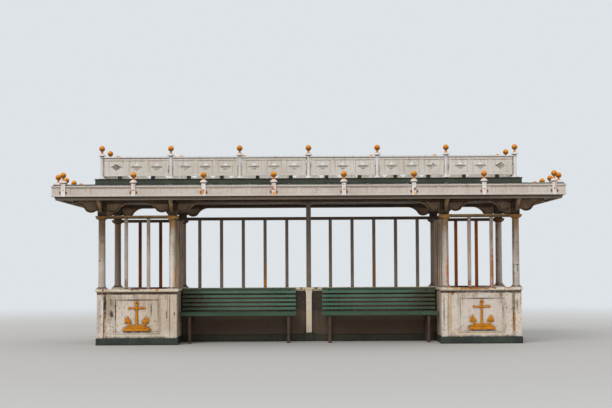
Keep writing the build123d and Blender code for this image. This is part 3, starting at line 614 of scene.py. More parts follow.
def makeWalls(setting):
    cream, green, inner, pilaster, plinth, dark = finishes(
        setting, "creamRender", "greenSkirting", "innerRender", "brightPilaster", "brownPlinth", "brownRender")
    skirting, plinthTop = setting["skirtingTop"], setting["plinthTop"]
    endWalls = ("front_left_wall", "front_right_wall", "rear_left_wall", "rear_right_wall")
    dressNodes(endWalls, "_render", setting["edge"], [cream, green],
               lambda centre, normal: int(centre.z < skirting))
    crossWalls = ("left_cross_wall", "right_cross_wall")
    dressNodes(crossWalls, "_render", setting["edge"], [cream, green, inner],
               lambda centre, normal: 1 if centre.z < skirting else 2 * int(abs(centre.x) < innerX))

    def zone(centre, normal):
        across = abs(centre.x)
        proud = abs(centre.y) > setting["pilasterFace"]
        if across < setting["pilasterHalf"] and proud and centre.z > plinthTop:
            return 0
        onPlinth = across < setting["plinthHalf"] and centre.z < plinthTop + 0.001
        return 1 if centre.z < skirting or onPlinth else 2

    dressNodes(["spine_wall"], "_render", setting["spineEdge"], [pilaster, plinth, dark],
               zone)


makeWalls(wallSetting)

# Sills: cream stone with rust that has run from the iron above
stoneCoat = dict(grain=60, relief=0.7, bump=0.4)
sillSetting = dict(
    edge=0.005,
    creamSill=dict(
        stoneCoat, paint=(230, 213, 188), faded=(242, 231, 214), patch=2.1, grime=((62, 52, 42), 1.6, 0.035),
        edges=((130, 96, 64), 0.9, 0.006), runs=[((120, 78, 44), 0.8, 0.95, 0.07, 24)], rust=(0.26, 6),
        # the dark band in the cove under the sill's edge is partly painted shade, partly dirt
        bands=[((44, 34, 27), 1.0, 0.874, 0.889, 0.003, 0.004)],
        specks=[((96, 74, 52), 0.9, 55, 0.58), ((150, 108, 62), 0.75, 22, 0.57)],
        stains=[
            ((196, 112, 36), 0.9, (-2.565, -1.12, 0.945), (0.06, 0.08, 0.03)),
            ((150, 96, 48), 0.7, (-2.90, -1.12, 0.93), (0.10, 0.08, 0.02)),
            ((178, 110, 38), 0.9, (2.47, -1.12, 0.94), (0.08, 0.05, 0.03)),
            ((146, 86, 34), 0.9, (2.63, -1.12, 0.94), (0.07, 0.05, 0.03)),
            ((196, 118, 46), 0.85, (3.10, -1.10, 0.94), (0.07, 0.08, 0.04)),
            ((206, 124, 44), 0.9, (3.33, -1.10, 0.94), (0.09, 0.08, 0.03)),
            ((200, 134, 54), 0.85, (2.74, -1.13, 0.930), (0.44, 0.07, 0.040)),
            ((128, 74, 32), 1.0, (2.80, -1.13, 0.954), (0.50, 0.08, 0.044)),
            ((92, 44, 30), 0.95, (-2.9, -1.13, 0.942), (0.56, 0.07, 0.009)),
            ((96, 54, 28), 1.0, (2.84, 0.94, 0.93), (0.68, 0.16, 0.06)),
            ((204, 128, 50), 0.9, (2.56, 0.92, 0.935), (0.10, 0.10, 0.04)),
            ((204, 128, 50), 0.9, (3.02, 0.92, 0.935), (0.08, 0.10, 0.04)),
            ((92, 44, 32), 1.0, (-2.9, 0.94, 0.93), (0.68, 0.16, 0.06)),
            ((206, 126, 50), 0.95, (-2.555, -1.13, 0.93), (0.035, 0.08, 0.03)),
            ((120, 82, 50), 0.9, (-3.06, -1.12, 0.95), (0.20, 0.10, 0.012)),
            ((90, 66, 44), 0.9, (-3.47, -1.13, 0.93), (0.016, 0.08, 0.04)),
            ((90, 66, 44), 0.9, (-2.98, -1.13, 0.93), (0.02, 0.08, 0.03)),
        ],
    ),
    goldenSill=dict(
        stoneCoat, paint=(246, 226, 184), faded=(250, 236, 206), patch=3, grime=((96, 66, 38), 1.4, 0.03),
        edges=((176, 124, 66), 1.0, 0.008), specks=[((120, 88, 54), 0.85, 50, 0.58)], rust=(0.2, 8),
        stains=[((84, 62, 42), 0.95, (sign * 0.125, 0, 0.93), (0.045, 0.4, 0.035)) for sign in (-1, 1)],
    ),
)


def makeSills(setting):
    stone, golden = finishes(setting, "creamSill", "goldenSill")
    dressNodes(("end_bay_sills", "cross_sills"), "_stone", setting["edge"], [stone])
    dressNodes(["spine_sill"], "_stone", setting["edge"], [golden])


makeSills(sillSetting)
print("walls and sills ready")

# Columns: cast iron with a petalled capital and a carved impost block
columnSetting = dict(
    edge=0.004, footWidth=0.168, footHeight=0.018, shaft=0.060, neck=0.057, torus=0.024, torusRelief=0.016,
    shelf=0.066,
    cove=0.024, astragal=0.014, astragalRelief=0.006, bowl=0.050, lip=0.104, swell=0.009, abacus=0.114,
    abacusHeight=0.014, impostWidth=0.130, impostHeight=0.219, petals=8, petalTurn=17.5, petalRelief=0.0085,
    petalGroove=0.0025, petalSink=0.004, tabletWidth=0.096, tabletHeight=0.092, tabletRelief=0.006,
    tabletMargin=0.012,
    rosette=0.017,
    creamColumn=dict(
        paint=(190, 177, 165), faded=(208, 198, 188), patch=2.6, mottle=0.16, grain=40, stretch=(1, 1, 0.3),
        # the inward-face tone is painted shade on the sides turned to the middle of the shelter
        relief=0.4, bump=0.3, inside=((134, 118, 106), 0.9), rust=(0.16, 9), roughness=(0.4, 0.8),
        # these bands darken and brown the columns towards the top: partly painted shade under the roof, partly
        # dirt
        bands=[((170, 132, 80), 0.8, 1.99, 2.2, 0.14, 0.05), ((140, 116, 86), 0.5, 1.66, 2.2, 0.45, 0.10)],
        specks=[((104, 84, 62), 0.8, 60, 0.64), ((150, 116, 76), 0.5, 26, 0.62)],
        stains=[
            # the pale patches on the rear columns, near y 0.96, are painted light that lifts the shade under
            # the roof
            ((232, 221, 206), 0.85, (-2.32, -1.08, 1.35), (0.05, 0.10, 0.62)),
            ((220, 204, 178), 0.75, (-2.30, -1.08, 1.85), (0.04, 0.10, 0.30)),
            ((206, 194, 184), 0.75, (2.30, -1.08, 1.40), (0.05, 0.10, 0.65)),
            ((104, 86, 66), 0.7, (-3.50, -1.08, 1.96), (0.10, 0.10, 0.32)),
            ((206, 191, 177), 0.95, (3.53, 0.97, 1.55), (0.10, 0.14, 1.0)),
            ((196, 148, 84), 0.9, (-2.30, -1.08, 2.03), (0.035, 0.06, 0.10)),
            ((90, 78, 68), 0.8, (3.455, -1.06, 1.85), (0.026, 0.08, 0.36)),
            ((96, 84, 74), 0.8, (3.455, -1.06, 1.15), (0.014, 0.08, 0.30)),
            ((60, 48, 38), 1.0, (3.5, -1.016, 1.70), (0.09, 0.09, 0.012)),
            ((60, 48, 38), 1.0, (3.5, -1.016, 1.32), (0.09, 0.09, 0.012)),
            ((70, 58, 48), 0.95, (3.52, -1.07, 1.25), (0.011, 0.03, 0.07)),
            ((206, 144, 72), 0.9, (3.545, -1.04, 1.90), (0.020, 0.05, 0.20)),
            ((56, 44, 36), 1.0, (-3.535, -1.06, 1.42), (0.018, 0.03, 0.018)),
            ((196, 112, 30), 1.0, (2.360, -1.05, 1.19), (0.060, 0.12, 0.40)),
            ((184, 166, 150), 0.85, (-2.3, 0.96, 1.5), (0.09, 0.14, 0.9)),
            ((184, 166, 150), 0.85, (2.3, 0.96, 1.5), (0.09, 0.14, 0.9)),
            ((214, 138, 48), 1.0, (-2.248, -1.04, 1.14), (0.034, 0.07, 0.36)),
        ],
        grime=((70, 56, 42), 1.5, 0.03), edges=((138, 84, 44), 1.0, 0.005),
        runs=[((96, 80, 62), 0.9, 2.12, 0.7, 13), ((160, 110, 56), 0.65, 2.1, 1.2, 26)],
    ),
    goldenCapital=dict(
        paint=(178, 124, 58), faded=(198, 152, 88), patch=12, mottle=0.25, grain=60,
        inside=((92, 70, 52), 0.95),
        specks=[((80, 48, 26), 0.85, 70, 0.56)], grime=((62, 42, 24), 1.6, 0.02),
        edges=((214, 170, 104), 0.9, 0.004),
        stains=faceStainsAndPaintedLight(
            -1.1, 0.2, ((116, 88, 58), 0.8, -3.5, 2.13, 0.16, 0.1), ((140, 100, 60), 0.6, 3.5, 2.13, 0.16, 0.1),
        ),
        rust=(0.42, 14), roughness=(0.45, 0.85),
    ),
    brownImpost=dict(
        paint=(88, 71, 54), faded=(106, 88, 68), patch=6, mottle=0.25, inside=((74, 60, 50), 0.9),
        grime=((36, 28, 22), 1.8, 0.03), edges=((158, 128, 88), 1.0, 0.005), rust=(0.3, 10),
        roughness=(0.45, 0.85),
    ),
)


def columnProfile(setting, foot, abacusTop):  # (radius, height) from the base to the top of the abacus
    shaft, neck, lip, rim, swell = (setting[key] for key in ("shaft", "neck", "lip", "abacus", "swell"))
    torusTop = foot + setting["torus"]
    baseTop = torusTop + setting["cove"]
    abacusFoot = abacusTop - setting["abacusHeight"]
    bowlFoot = abacusFoot - setting["bowl"]
    beadFoot = bowlFoot - setting["astragal"]
    roundest = (shaft + setting["torusRelief"], (foot + torusTop) / 2)
    profile = [(shaft, foot)] + arc((shaft, foot), roundest, (setting["shelf"], torusTop), 8)
    profile += arc(profile[-1], (shaft + 0.002, (torusTop + baseTop) / 2), (shaft, baseTop), 5)
    profile += [(shaft - 0.001, foot + 0.35), (neck + 0.001, beadFoot - 0.3), (neck, beadFoot)]
    beadSide = (neck + setting["astragalRelief"], (beadFoot + bowlFoot) / 2)
    profile += arc(profile[-1], beadSide, (neck, bowlFoot), 8)
    fullest = ((neck + lip) / 2 + swell, (bowlFoot + abacusFoot) / 2 - swell)
    bowl = arc((neck, bowlFoot), fullest, (lip, abacusFoot), 8)
    top = [(rim - 0.002, abacusFoot), (rim, abacusFoot + 0.003),
           (rim, abacusTop - 0.004), (rim - 0.003, abacusTop)]
    return profile + bowl + top, [(neck, bowlFoot)] + bowl


def addPetal(mesh, x, y, angle, bowl, setting):  # a cushioned petal with a groove down its middle
    turnBy, relief = math.radians(setting["petalTurn"]), setting["petalRelief"]
    grooveHalf = 0.16
    acrosses = (-1, -0.82, -0.5, -grooveHalf, 0, grooveHalf, 0.5, 0.82, 1)
    sheets = []
    for inward in (0, setting["petalSink"]):
        rows = []
        for index, (radius, height) in enumerate(bowl):
            t = index / (len(bowl) - 1)
            spread = turnBy * (0.8 + 0.2 * math.sin(math.pi * min(1, t * 1.15)))
            row = []
            for across in acrosses:
                groove = setting["petalGroove"] * max(0, 1 - abs(across) / grooveHalf)
                cushion = relief * (1 - abs(across) ** 3) * (0.45 + 0.55 * t) - groove
                reach = radius + cushion - inward - 0.0006
                bearing = angle + across * spread
                place = (x + reach * math.cos(bearing), y + reach * math.sin(bearing), height - 0.0004)
                row.append(mesh.verts.new(place))
            rows.append(row)
        sheets.append(rows)
    for rows, flip in zip(sheets, (1, -1)):
        for lower, upper in zip(rows, rows[1:]):
            for index in range(len(acrosses) - 1):
                mesh.faces.new((lower[index], lower[index + 1], upper[index + 1], upper[index])[::flip])
    outer, inner = (
        [row[0] for row in rows] + rows[-1][1:-1] + [row[-1] for row in rows[::-1]] + rows[0][1:-1][::-1]
        for rows in sheets
    )
    join(mesh, outer, inner)


def addTablet(mesh, start, out, foot, setting):  # a framed rosette on one side of an impost block
    side = Vector((-out.y, out.x, 0))
    half, tall = setting["tabletWidth"] / 2, setting["tabletHeight"]
    relief, face, rosette = setting["tabletRelief"], setting["impostWidth"] / 2, setting["rosette"]

    def at(across, up, depth=0.0005):
        return start + side * across + out * (face + depth) + Vector((0, 0, foot + up))

    rings = []
    for inset, depth in ((0, -0.002), (0.0042, relief), (0.013, relief), (0.0155, 0.001)):
        reach = half - inset
        corners = ((-reach, inset), (reach, inset), (reach, tall - inset), (-reach, tall - inset))
        rings.append([mesh.verts.new(at(across, up, depth)) for across, up in corners])
    stack(mesh, rings)
    middle = tall / 2
    for angle in [math.pi * index / 4 for index in range(8)]:
        petal = at(rosette * math.cos(angle), middle + rosette * math.sin(angle))
        boltHead(mesh, petal, out, 0.0078, 0.0045, 7)
    boltHead(mesh, at(0, middle), out, 0.009, 0.0055, 10)


def makeColumns(setting):
    materials = finishes(setting, "creamColumn", "goldenCapital", "brownImpost")
    foot, top = columnLow.z, columnHigh.z
    baseFoot, abacusTop = foot + setting["footHeight"], top - setting["impostHeight"]
    profile, bowl = columnProfile(setting, baseFoot, abacusTop)
    beadFoot = bowl[0][1] - setting["astragal"]
    for side, y in (("front", -lineY), ("rear", lineY)):
        for place, x in zip(("outer_left", "inner_left", "inner_right", "outer_right"), columnXs):
            mesh = bmesh.new()
            for width, low, high in (("footWidth", foot, baseFoot), ("impostWidth", abacusTop, top)):
                half = setting[width] / 2
                solidBox(mesh, (x - half, y - half, low), (x + half, y + half, high))
            softenEdges(mesh, setting["edge"])
            turn(mesh, profile, x, y, 48)
            for index in range(setting["petals"]):
                addPetal(mesh, x, y, 2 * math.pi * (index + 0.5) / setting["petals"], bowl, setting)
            for out in ((1, 0, 0), (0, 1, 0), (-1, 0, 0), (0, -1, 0)):
                addTablet(mesh, Vector((x, y, 0)), Vector(out), abacusTop + setting["tabletMargin"], setting)
            makePiece(
                f"{side}_{place}_iron_column", mesh, materials, [f"{side}_{place}_column"],
                lambda centre, normal: 2 if centre.z > abacusTop - 0.0005 else int(centre.z > beadFoot))


makeColumns(columnSetting)

# Screens: iron mullions, posts and head rails, painted outside; inside they are rusty and darker, partly
# painted shade
barCoat = dict(grain=40, stretch=(1, 1, 0.25), relief=0.4, bump=0.3)
screenSetting = dict(
    edge=0.006, outwardFrom=0.3,
    creamMullion=dict(
        barCoat, paint=(176, 160, 147), faded=(190, 178, 166), patch=3, mottle=0.15,
        grime=((70, 50, 38), 1.3, 0.03),
        edges=((86, 54, 36), 1.5, 0.008), rust=(0.28, 10), runs=[((128, 90, 50), 0.8, 2.1, 1.1, 30)],
        stains=[
            ((172, 98, 30), 1.0, (3.108, -1.03, 1.22), (0.05, 0.08, 0.44)),
            ((150, 78, 30), 0.8, (3.09, -1.03, 1.75), (0.012, 0.07, 0.22)),
            ((150, 92, 50), 0.7, (2.70, -1.03, 1.02), (0.04, 0.07, 0.10)),
            ((128, 84, 48), 0.7, (-3.09, -1.03, 1.02), (0.04, 0.07, 0.12)),
        ],
        roughness=(0.42, 0.78),
    ),
    rustyShadedMullion=dict(
        paint=(124, 68, 32), faded=(150, 84, 38), patch=4, mottle=0.25, relief=0.6, bump=0.45,
        grime=((52, 28, 18), 1.0, 0.02), edges=((190, 100, 36), 1.1, 0.009), rust=(0.5, 9),
        runs=[((190, 96, 32), 0.8, 2.0, 1.4, 22)], roughness=(0.55, 0.9),
        stains=faceStainsAndPaintedLight(
            1.03, 0.3, ((206, 112, 34), 0.95, 2.90, 1.5, 0.6, 0.9), ((96, 40, 22), 0.8, -2.95, 1.9, 0.5, 0.5),
        ),
    ),
    greyMullion=dict(
        barCoat, paint=(121, 108, 98), faded=(140, 127, 116), patch=2.4, grime=((50, 40, 32), 1.2, 0.03),
        edges=((150, 132, 108), 0.8, 0.006), rust=(0.36, 8), runs=[((138, 82, 38), 0.9, 1.3, 0.4, 40)],
        stains=faceStainsAndPaintedLight(
            0, 0.3,
            ((152, 92, 46), 0.8, 1.152, 1.16, 0.06, 0.34), ((168, 108, 48), 0.75, -0.762, 1.16, 0.030, 0.28),
            ((206, 132, 46), 0.9, -0.768, 1.02, 0.05, 0.13), ((150, 134, 119), 0.6, 0, 1.6, 0.08, 0.9),
        ),
    ),
    crossMullion=dict(
        barCoat, paint=(178, 155, 134), faded=(198, 176, 154), patch=3, mottle=0.25,
        grime=((92, 54, 40), 1.0, 0.02),
        joints=[((78, 44, 32), 0.9, (1, 0, 0), 2.264, 0.014)],  # painted shade: dark lines on the side towards the benches, for the shaded gaps between the mullions
        edges=((88, 50, 34), 1.4, 0.010), rust=(0.42, 8), runs=[((132, 84, 46), 0.9, 2.1, 1.6, 18)],
    ),
    goldenRail=dict(
        paint=(146, 116, 80), faded=(184, 156, 114), patch=4,
        bands=[((84, 44, 30), 0.85, 2.138, 2.152, 0.005, 0.003)],
        bump=0.4, grime=((60, 42, 28), 1.3, 0.03), edges=((104, 70, 44), 0.9, 0.006), rust=(0.5, 9),
        specks=[((92, 56, 30), 0.8, 60, 0.6)], roughness=(0.5, 0.9),
    ),
    brownRail=dict(
        paint=(84, 67, 55), faded=(100, 80, 64), patch=3, bump=0.4, grime=((44, 34, 26), 1.2, 0.03),
        edges=((140, 104, 74), 0.8, 0.006), rust=(0.45, 8), roughness=(0.5, 0.9),
    ),
)


def makeScreens(setting):
    outer, rusty, spine, cross, front, rail = finishes(
        setting, "creamMullion", "rustyShadedMullion", "greyMullion", "crossMullion", "goldenRail", "brownRail")

    # faces turned in to the shelter take the darker finish: rust, and painted shade from the roof
    def facesIn(centre, normal):
        return int(normal.y * centre.y < setting["outwardFrom"] * abs(centre.y))

    for names, materials, rule in (
        (["end_bay_mullions"], [outer, rusty], facesIn), (["cross_mullions"], [cross], None),
        (["spine_mullions", "centre_post"], [spine], None), (["end_bay_head_rails"], [front, rail], facesIn),
        (["cross_head_rails", "spine_head_rails"], [rail], None),
    ):
        dressNodes(names, "_iron", setting["edge"], materials, rule)


makeScreens(screenSetting)
print("columns and screens ready")

# Brackets: a cast web with a flange, and a bead that follows it
bracketSetting = dict(
    edge=0.003, reach=0.490, tip=0.052, lobeReach=0.186, lobeDrop=0.206, lobeWidth=0.172, lobeRise=0.032,
    coveSag=0.026,
    web=0.016, bead=0.004, beadInset=0.026, columnHalf=0.066,
    bracketIron=dict(
        paint=(134, 109, 88), faded=(154, 128, 103), patch=4, grime=((36, 28, 22), 1.6, 0.035),
        # the light edge tones on the brackets are painted highlight along the bead and flange, with wear
        edges=((150, 124, 92), 1.0, 0.006), rust=(0.35, 10), roughness=(0.45, 0.85),
        specks=[((66, 48, 36), 0.8, 44, 0.56), ((166, 136, 98), 0.6, 38, 0.6)],
    ),
    bracketRim=dict(
        paint=(146, 118, 86), faded=(168, 138, 102), patch=5,
        bands=[((92, 72, 54), 0.75, 2.17, 2.29, 0.05, 0.02)],
        grime=((60, 46, 32), 1.2, 0.02), edges=((182, 152, 110), 0.9, 0.005), rust=(0.3, 11),
        roughness=(0.45, 0.85),
    ),
)


def bracketLine(setting, inset):  # the lower edge of a bracket, moved in by inset
    top, sag, half = ceilingLow.z, setting["coveSag"], setting["lobeWidth"] / 2
    tip = (setting["reach"] - inset, top - setting["tip"] + inset)
    lobe = (setting["lobeReach"], top - setting["lobeDrop"] + inset)
    shoulder = (lobe[0] + half - inset * 0.6, lobe[1] + setting["lobeRise"])
    back = (lobe[0] - half + inset * 0.6, shoulder[1])
    middle = ((shoulder[0] + tip[0]) / 2 - sag, (shoulder[1] + tip[1]) / 2 + sag)
    return [tip] + arc(tip, middle, shoulder, 12) + arc(shoulder, lobe, back, 12)


def makeBrackets(setting):
    iron, rim = finishes(setting, "bracketIron", "bracketRim")
    line = bracketLine(setting, setting["beadInset"])

    def onRim(centre, normal):
        outward = abs(centre.y) > lineY + setting["columnHalf"]
        off = min(abs(centre.x - x) for x in columnXs) if outward else abs(abs(centre.y) - lineY)
        across = abs(normal.x if outward else normal.y)
        return int(off > setting["web"] + 0.001 or (across < 0.5 and off < 0.001))

    for side, sign in (("front", -1), ("rear", 1)):
        mesh = cadMesh(side + "_brackets", setting["edge"])
        for x in columnXs:
            start = Vector((x, sign * lineY, 0))
            for heading in (Vector((0, sign, 0)), Vector((1, 0, 0)), Vector((-1, 0, 0))):
                across = Vector((heading.y, -heading.x, 0))
                for face in (-1, 1):
                    shift = across * face * setting["web"]
                    path = [start + heading * reach + shift + Vector((0, 0, height)) for reach, height in line]
                    sweep(mesh, path, setting["bead"], 6)
        makePiece(side + "_bracket_castings", mesh, [iron, rim], [side + "_brackets"], onRim)


makeBrackets(bracketSetting)

# Beams, and a ceiling of narrow boards with open joints
ceilingSetting = dict(
    board=0.112, joint=0.005, beamEdge=0.004,
    ceilingBoards=dict(
        paint=(84, 68, 53), faded=(97, 79, 62), specular=0.1, patch=1.6, mottle=0.14, grain=24,
        stretch=(1, 0.08, 1),
        relief=0.6, bump=0.4, lines=((58, 48, 39), 0.4), grime=((44, 36, 29), 1.3, 0.12),
        edges=((132, 118, 98), 0.5, 0.004),
    ),
    brownBeam=dict(
        paint=(82, 65, 52), faded=(96, 78, 62), specular=0.1, patch=2, mottle=0.15, grain=40,
        stretch=(0.1, 1, 1),
        grime=((42, 34, 27), 1.2, 0.05), edges=((126, 106, 84), 0.7, 0.005),
    ),
)


def makeCeiling(setting):
    boards, beams = finishes(setting, "ceilingBoards", "brownBeam")
    mesh = bmesh.new()
    low, high = ceilingLow, ceilingHigh
    count = round((high.x - low.x) / setting["board"])
    width, joint = (high.x - low.x) / count, setting["joint"]
    for index in range(count):
        left, right = low.x + width * index, low.x + width * (index + 1)
        outline = [(left, high.z), (left, low.z + joint), (left + joint, low.z), (right - joint, low.z),
                   (right, low.z + joint), (right, high.z)]
        near, far = ([mesh.verts.new((x, y, z)) for x, z in outline] for y in (low.y, high.y))
        mesh.faces.new(near)
        mesh.faces.new(far[::-1])
        join(mesh, near, far)
    makePiece("ceiling_boarding", mesh, [boards], ["ceiling"], smooth=20)
    dressNodes(("front_beam", "rear_beam", "cross_beams"), "_timber", setting["beamEdge"], [beams])


makeCeiling(ceilingSetting)

# Fascia: cream boards with recessed panels over a brown bed mould
fasciaCoat = dict(mottle=0.14, grain=30, stretch=(0.2, 0.2, 1), relief=0.4)
fasciaSetting = dict(
    edge=0.0025, mouldHeight=0.031,
    creamFascia=dict(
        fasciaCoat, paint=(206, 193, 181), faded=(217, 206, 195), patch=1.3, bump=0.25,
        grime=((126, 110, 94), 0.8, 0.014),
        bands=[((104, 92, 82), 0.75, 2.6175, 2.6235, 0.003, 0.001),
               ((152, 138, 124), 0.6, 2.600, 2.608, 0.006, 0.002)],
        edges=((146, 122, 100), 0.5, 0.003), rust=(0.1, 8), specks=[((130, 108, 88), 0.6, 50, 0.66)],
        runs=[((158, 134, 110), 0.4, 2.66, 0.2, 22), ((186, 120, 66), 0.35, 2.6, 0.14, 40)],
        roughness=(0.4, 0.75),
    ),
    brownBedMould=dict(
        fasciaCoat, paint=(105, 93, 82), faded=(119, 106, 93), patch=2, bump=0.3,
        grime=((56, 46, 38), 1.2, 0.03),
        # the dark band just under the fascia's bottom edge is painted shadow
        bands=[((42, 33, 31), 0.9, 2.458, 2.48, 0.006, 0.002),
               ((142, 124, 104), 0.5, 2.410, 2.428, 0.006, 0.002)],
        edges=((150, 132, 110), 0.6, 0.004),
    ),
)


def makeFascia(setting):
    mouldTop = ceilingLow.z + setting["mouldHeight"]
    dressNodes(("front_fascia", "rear_fascia", "left_fascia", "right_fascia"), "_boards", setting["edge"],
               finishes(setting, "creamFascia", "brownBedMould"),
               lambda centre, normal: int(centre.z < mouldTop))


makeFascia(fasciaSetting)

# Roof sheets with rolled seams, and the green curb
roofSetting = dict(
    edge=0.003, seam=0.012, pitch=0.64, curbOut=0.103, eavesLip=0.014, curbLip=0.075, curbSeams=11,
    roofSheet=dict(
        paint=(124, 128, 127), faded=(146, 149, 147), patch=1.4, mottle=0.16, grain=12, relief=0.8, bump=0.3,
        depth=0.004, grime=((74, 72, 66), 1.2, 0.06), roughness=(0.4, 0.7), rust=(0.12, 4),
    ),
    greenCurb=dict(
        paint=(66, 70, 59), faded=(79, 84, 71), patch=2.2, mottle=0.16, grain=30, stretch=(0.15, 0.15, 1),
        bands=[((34, 35, 27), 0.85, 2.780, 2.81, 0.004, 0.002),
               ((34, 35, 27), 0.8, 2.69, 2.702, 0.004, 0.002)],
        grime=((34, 34, 28), 1.5, 0.03), edges=((136, 136, 120), 1.0, 0.004),
        runs=[((48, 48, 40), 0.7, 2.82, 0.12, 24)],
        roughness=(0.4, 0.75),
    ),
)


def seamRuns(setting):  # start and end of each rolled seam on the sloping deck
    curbX, curbY = outerX + setting["curbOut"], lineY + setting["curbOut"]
    eaves, high, low = deckHigh, deckHigh.z, deckLow.z + setting["eavesLip"]
    across, along = round(2 * curbX / setting["pitch"]), round(2 * curbY / setting["pitch"])
    runs = []
    for x in [-curbX + 2 * curbX * index / across for index in range(across + 1)]:
        runs += [((x, sign * curbY, high), (x, sign * eaves.y, low)) for sign in (-1, 1)]
    for y in [-curbY + 2 * curbY * index / along for index in range(1, along)]:
        runs += [((sign * curbX, y, high), (sign * eaves.x, y, low)) for sign in (-1, 1)]
    for x, y in ((-1, -1), (-1, 1), (1, -1), (1, 1)):
        runs.append(((x * curbX, y * curbY, high), (x * eaves.x, y * eaves.y, low)))
    return runs


def makeRoof(setting):
    sheet, green = finishes(setting, "roofSheet", "greenCurb")
    mesh = cadMesh("roof_deck", setting["edge"], angle=40)
    for start, end in seamRuns(setting):
        sweep(mesh, [Vector(start).lerp(Vector(end), t) for t in (0, 0.5, 0.985)], setting["seam"], 8)
    makePiece("roof_deck_sheets", mesh, [sheet], ["roof_deck"])
    mesh = cadMesh("roof_curb", setting["edge"])
    top, reachY, count = curbHigh.z, curbHigh.y - setting["curbLip"], setting["curbSeams"]
    for x in [(index - count // 2) * setting["pitch"] for index in range(count)]:
        sweep(mesh, [(x, y, top) for y in (-reachY, 0, reachY)], setting["seam"], 8)
    makePiece("roof_curb_boards", mesh, [green, sheet], ["roof_curb"],
              lambda centre, normal: int(centre.z > top - setting["seam"] and abs(centre.y) < reachY + 0.01))


makeRoof(roofSetting)
print("roof ready")

# Balustrade: pierced cast panels, round posts and golden balls
postLow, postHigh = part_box("balustrade_posts")
whiteCoat = dict(grain=40, relief=0.4, bump=0.3, roughness=(0.4, 0.8))
panelCoat = dict(whiteCoat, patch=1.6, mottle=0.14, grime=((118, 98, 78), 1.0, 0.014),
                 edges=((150, 118, 90), 0.6, 0.003), rust=(0.13, 9))
balustradeSetting = dict(
    edge=0.0022, blockHeight=0.0535, lengthBays=6, sideBays=2, jointTone=(88, 62, 44), jointWidth=0.048,
    post=dict(base=0.076, baseEdge=0.012, baseHeight=0.056, shaft=0.030, cap=0.0625, neck=3.181, coveTop=3.195,
              edgeTop=3.203, capTop=3.233, seat=0.031, collar=0.005),
    creamBalustrade=dict(
        panelCoat, paint=(220, 210, 197), faded=(232, 224, 214),
        # a painted highlight along the lit coping, then a painted shadow line under it
        bands=[((226, 226, 226), 0.8, 3.1595, 3.19, 0.002, 0.001),
               ((62, 53, 44), 0.92, 3.147, 3.1565, 0.0025, 0.001),
               ((164, 144, 120), 0.5, 3.105, 3.118, 0.006, 0.003)],
        runs=[((156, 130, 102), 0.45, 3.14, 0.28, 22), ((184, 120, 70), 0.4, 3.1, 0.3, 37)],
    ),
    innerBalustrade=dict(
        panelCoat, paint=(206, 195, 180), faded=(220, 210, 198),
        runs=[((156, 130, 102), 0.45, 3.14, 0.28, 22)],
    ),
    greenFootBlock=dict(
        paint=(38, 47, 41), faded=(50, 60, 52), patch=5, grime=((28, 30, 26), 1.2, 0.02),
        edges=((120, 120, 104), 0.7, 0.004), roughness=(0.42, 0.78),
    ),
    whitePost=dict(
        whiteCoat, paint=(230, 224, 216), faded=(240, 236, 231), patch=4, mottle=0.12,
        # the dark tone on down-facing faces is painted shade under the post caps
        under=((92, 76, 64), 0.85, -0.2),
        grime=((104, 72, 48), 1.7, 0.025), edges=((140, 90, 52), 1.0, 0.004), rust=(0.3, 12),
        runs=[((158, 98, 52), 0.7, 3.2, 0.5, 40)],
    ),
)
ballSetting = dict(
    ball=0.0495, neck=0.017, neckHeight=0.038, foot=0.031,
    goldenPaint=dict(
        paint=(244, 156, 12), faded=(228, 138, 12), patch=9, grain=60, relief=0.4,
        # the dark tone on down-facing faces is painted shade on the lower half of each ball
        under=((132, 74, 12), 0.85, 0.45),
        bump=0.25, grime=((110, 56, 14), 1.2, 0.03), edges=((120, 70, 30), 0.5, 0.004), rust=(0.2, 22),
        roughness=(0.32, 0.65), coat=0.15,
    ),
)


def makePosts(setting, white):
    post, foot = setting["post"], curbHigh.z
    shaft, base, cap, neck, seat = (post[key] for key in ("shaft", "base", "cap", "neck", "seat"))
    collar = shaft + post["collar"]
    coveTop, edgeTop, capTop = post["coveTop"], post["edgeTop"], post["capTop"]
    baseEdge, baseTop = foot + post["baseEdge"], foot + post["baseHeight"]
    profile = [(base - 0.002, foot), (base, foot + 0.002), (base, baseEdge - 0.002), (base - 0.002, baseEdge)]
    hollow = (shaft + (base - shaft) / 3, (2 * baseEdge + baseTop) / 3)
    profile += arc(profile[-1], hollow, (shaft, baseTop), 8)
    profile += [(shaft, foot + 0.2), (shaft, neck - 0.03), (collar, neck - 0.027), (collar, neck - 0.019)]
    profile += [(shaft, neck - 0.016), (shaft, neck)]
    profile += arc((shaft, neck), (shaft + (cap - shaft) / 4, (neck + 2 * coveTop) / 3), (cap, coveTop), 6)
    profile += [(cap, edgeTop)]
    profile += arc(profile[-1], (cap - (cap - seat) / 3, (edgeTop + capTop) / 2), (seat, capTop), 8)
    mesh = bmesh.new()
    for x, y, low in nodeParts("balustrade_posts"):
        turn(mesh, profile, x, y, 28)
    makePiece("balustrade_turned_posts", mesh, [white], ["balustrade_posts"])


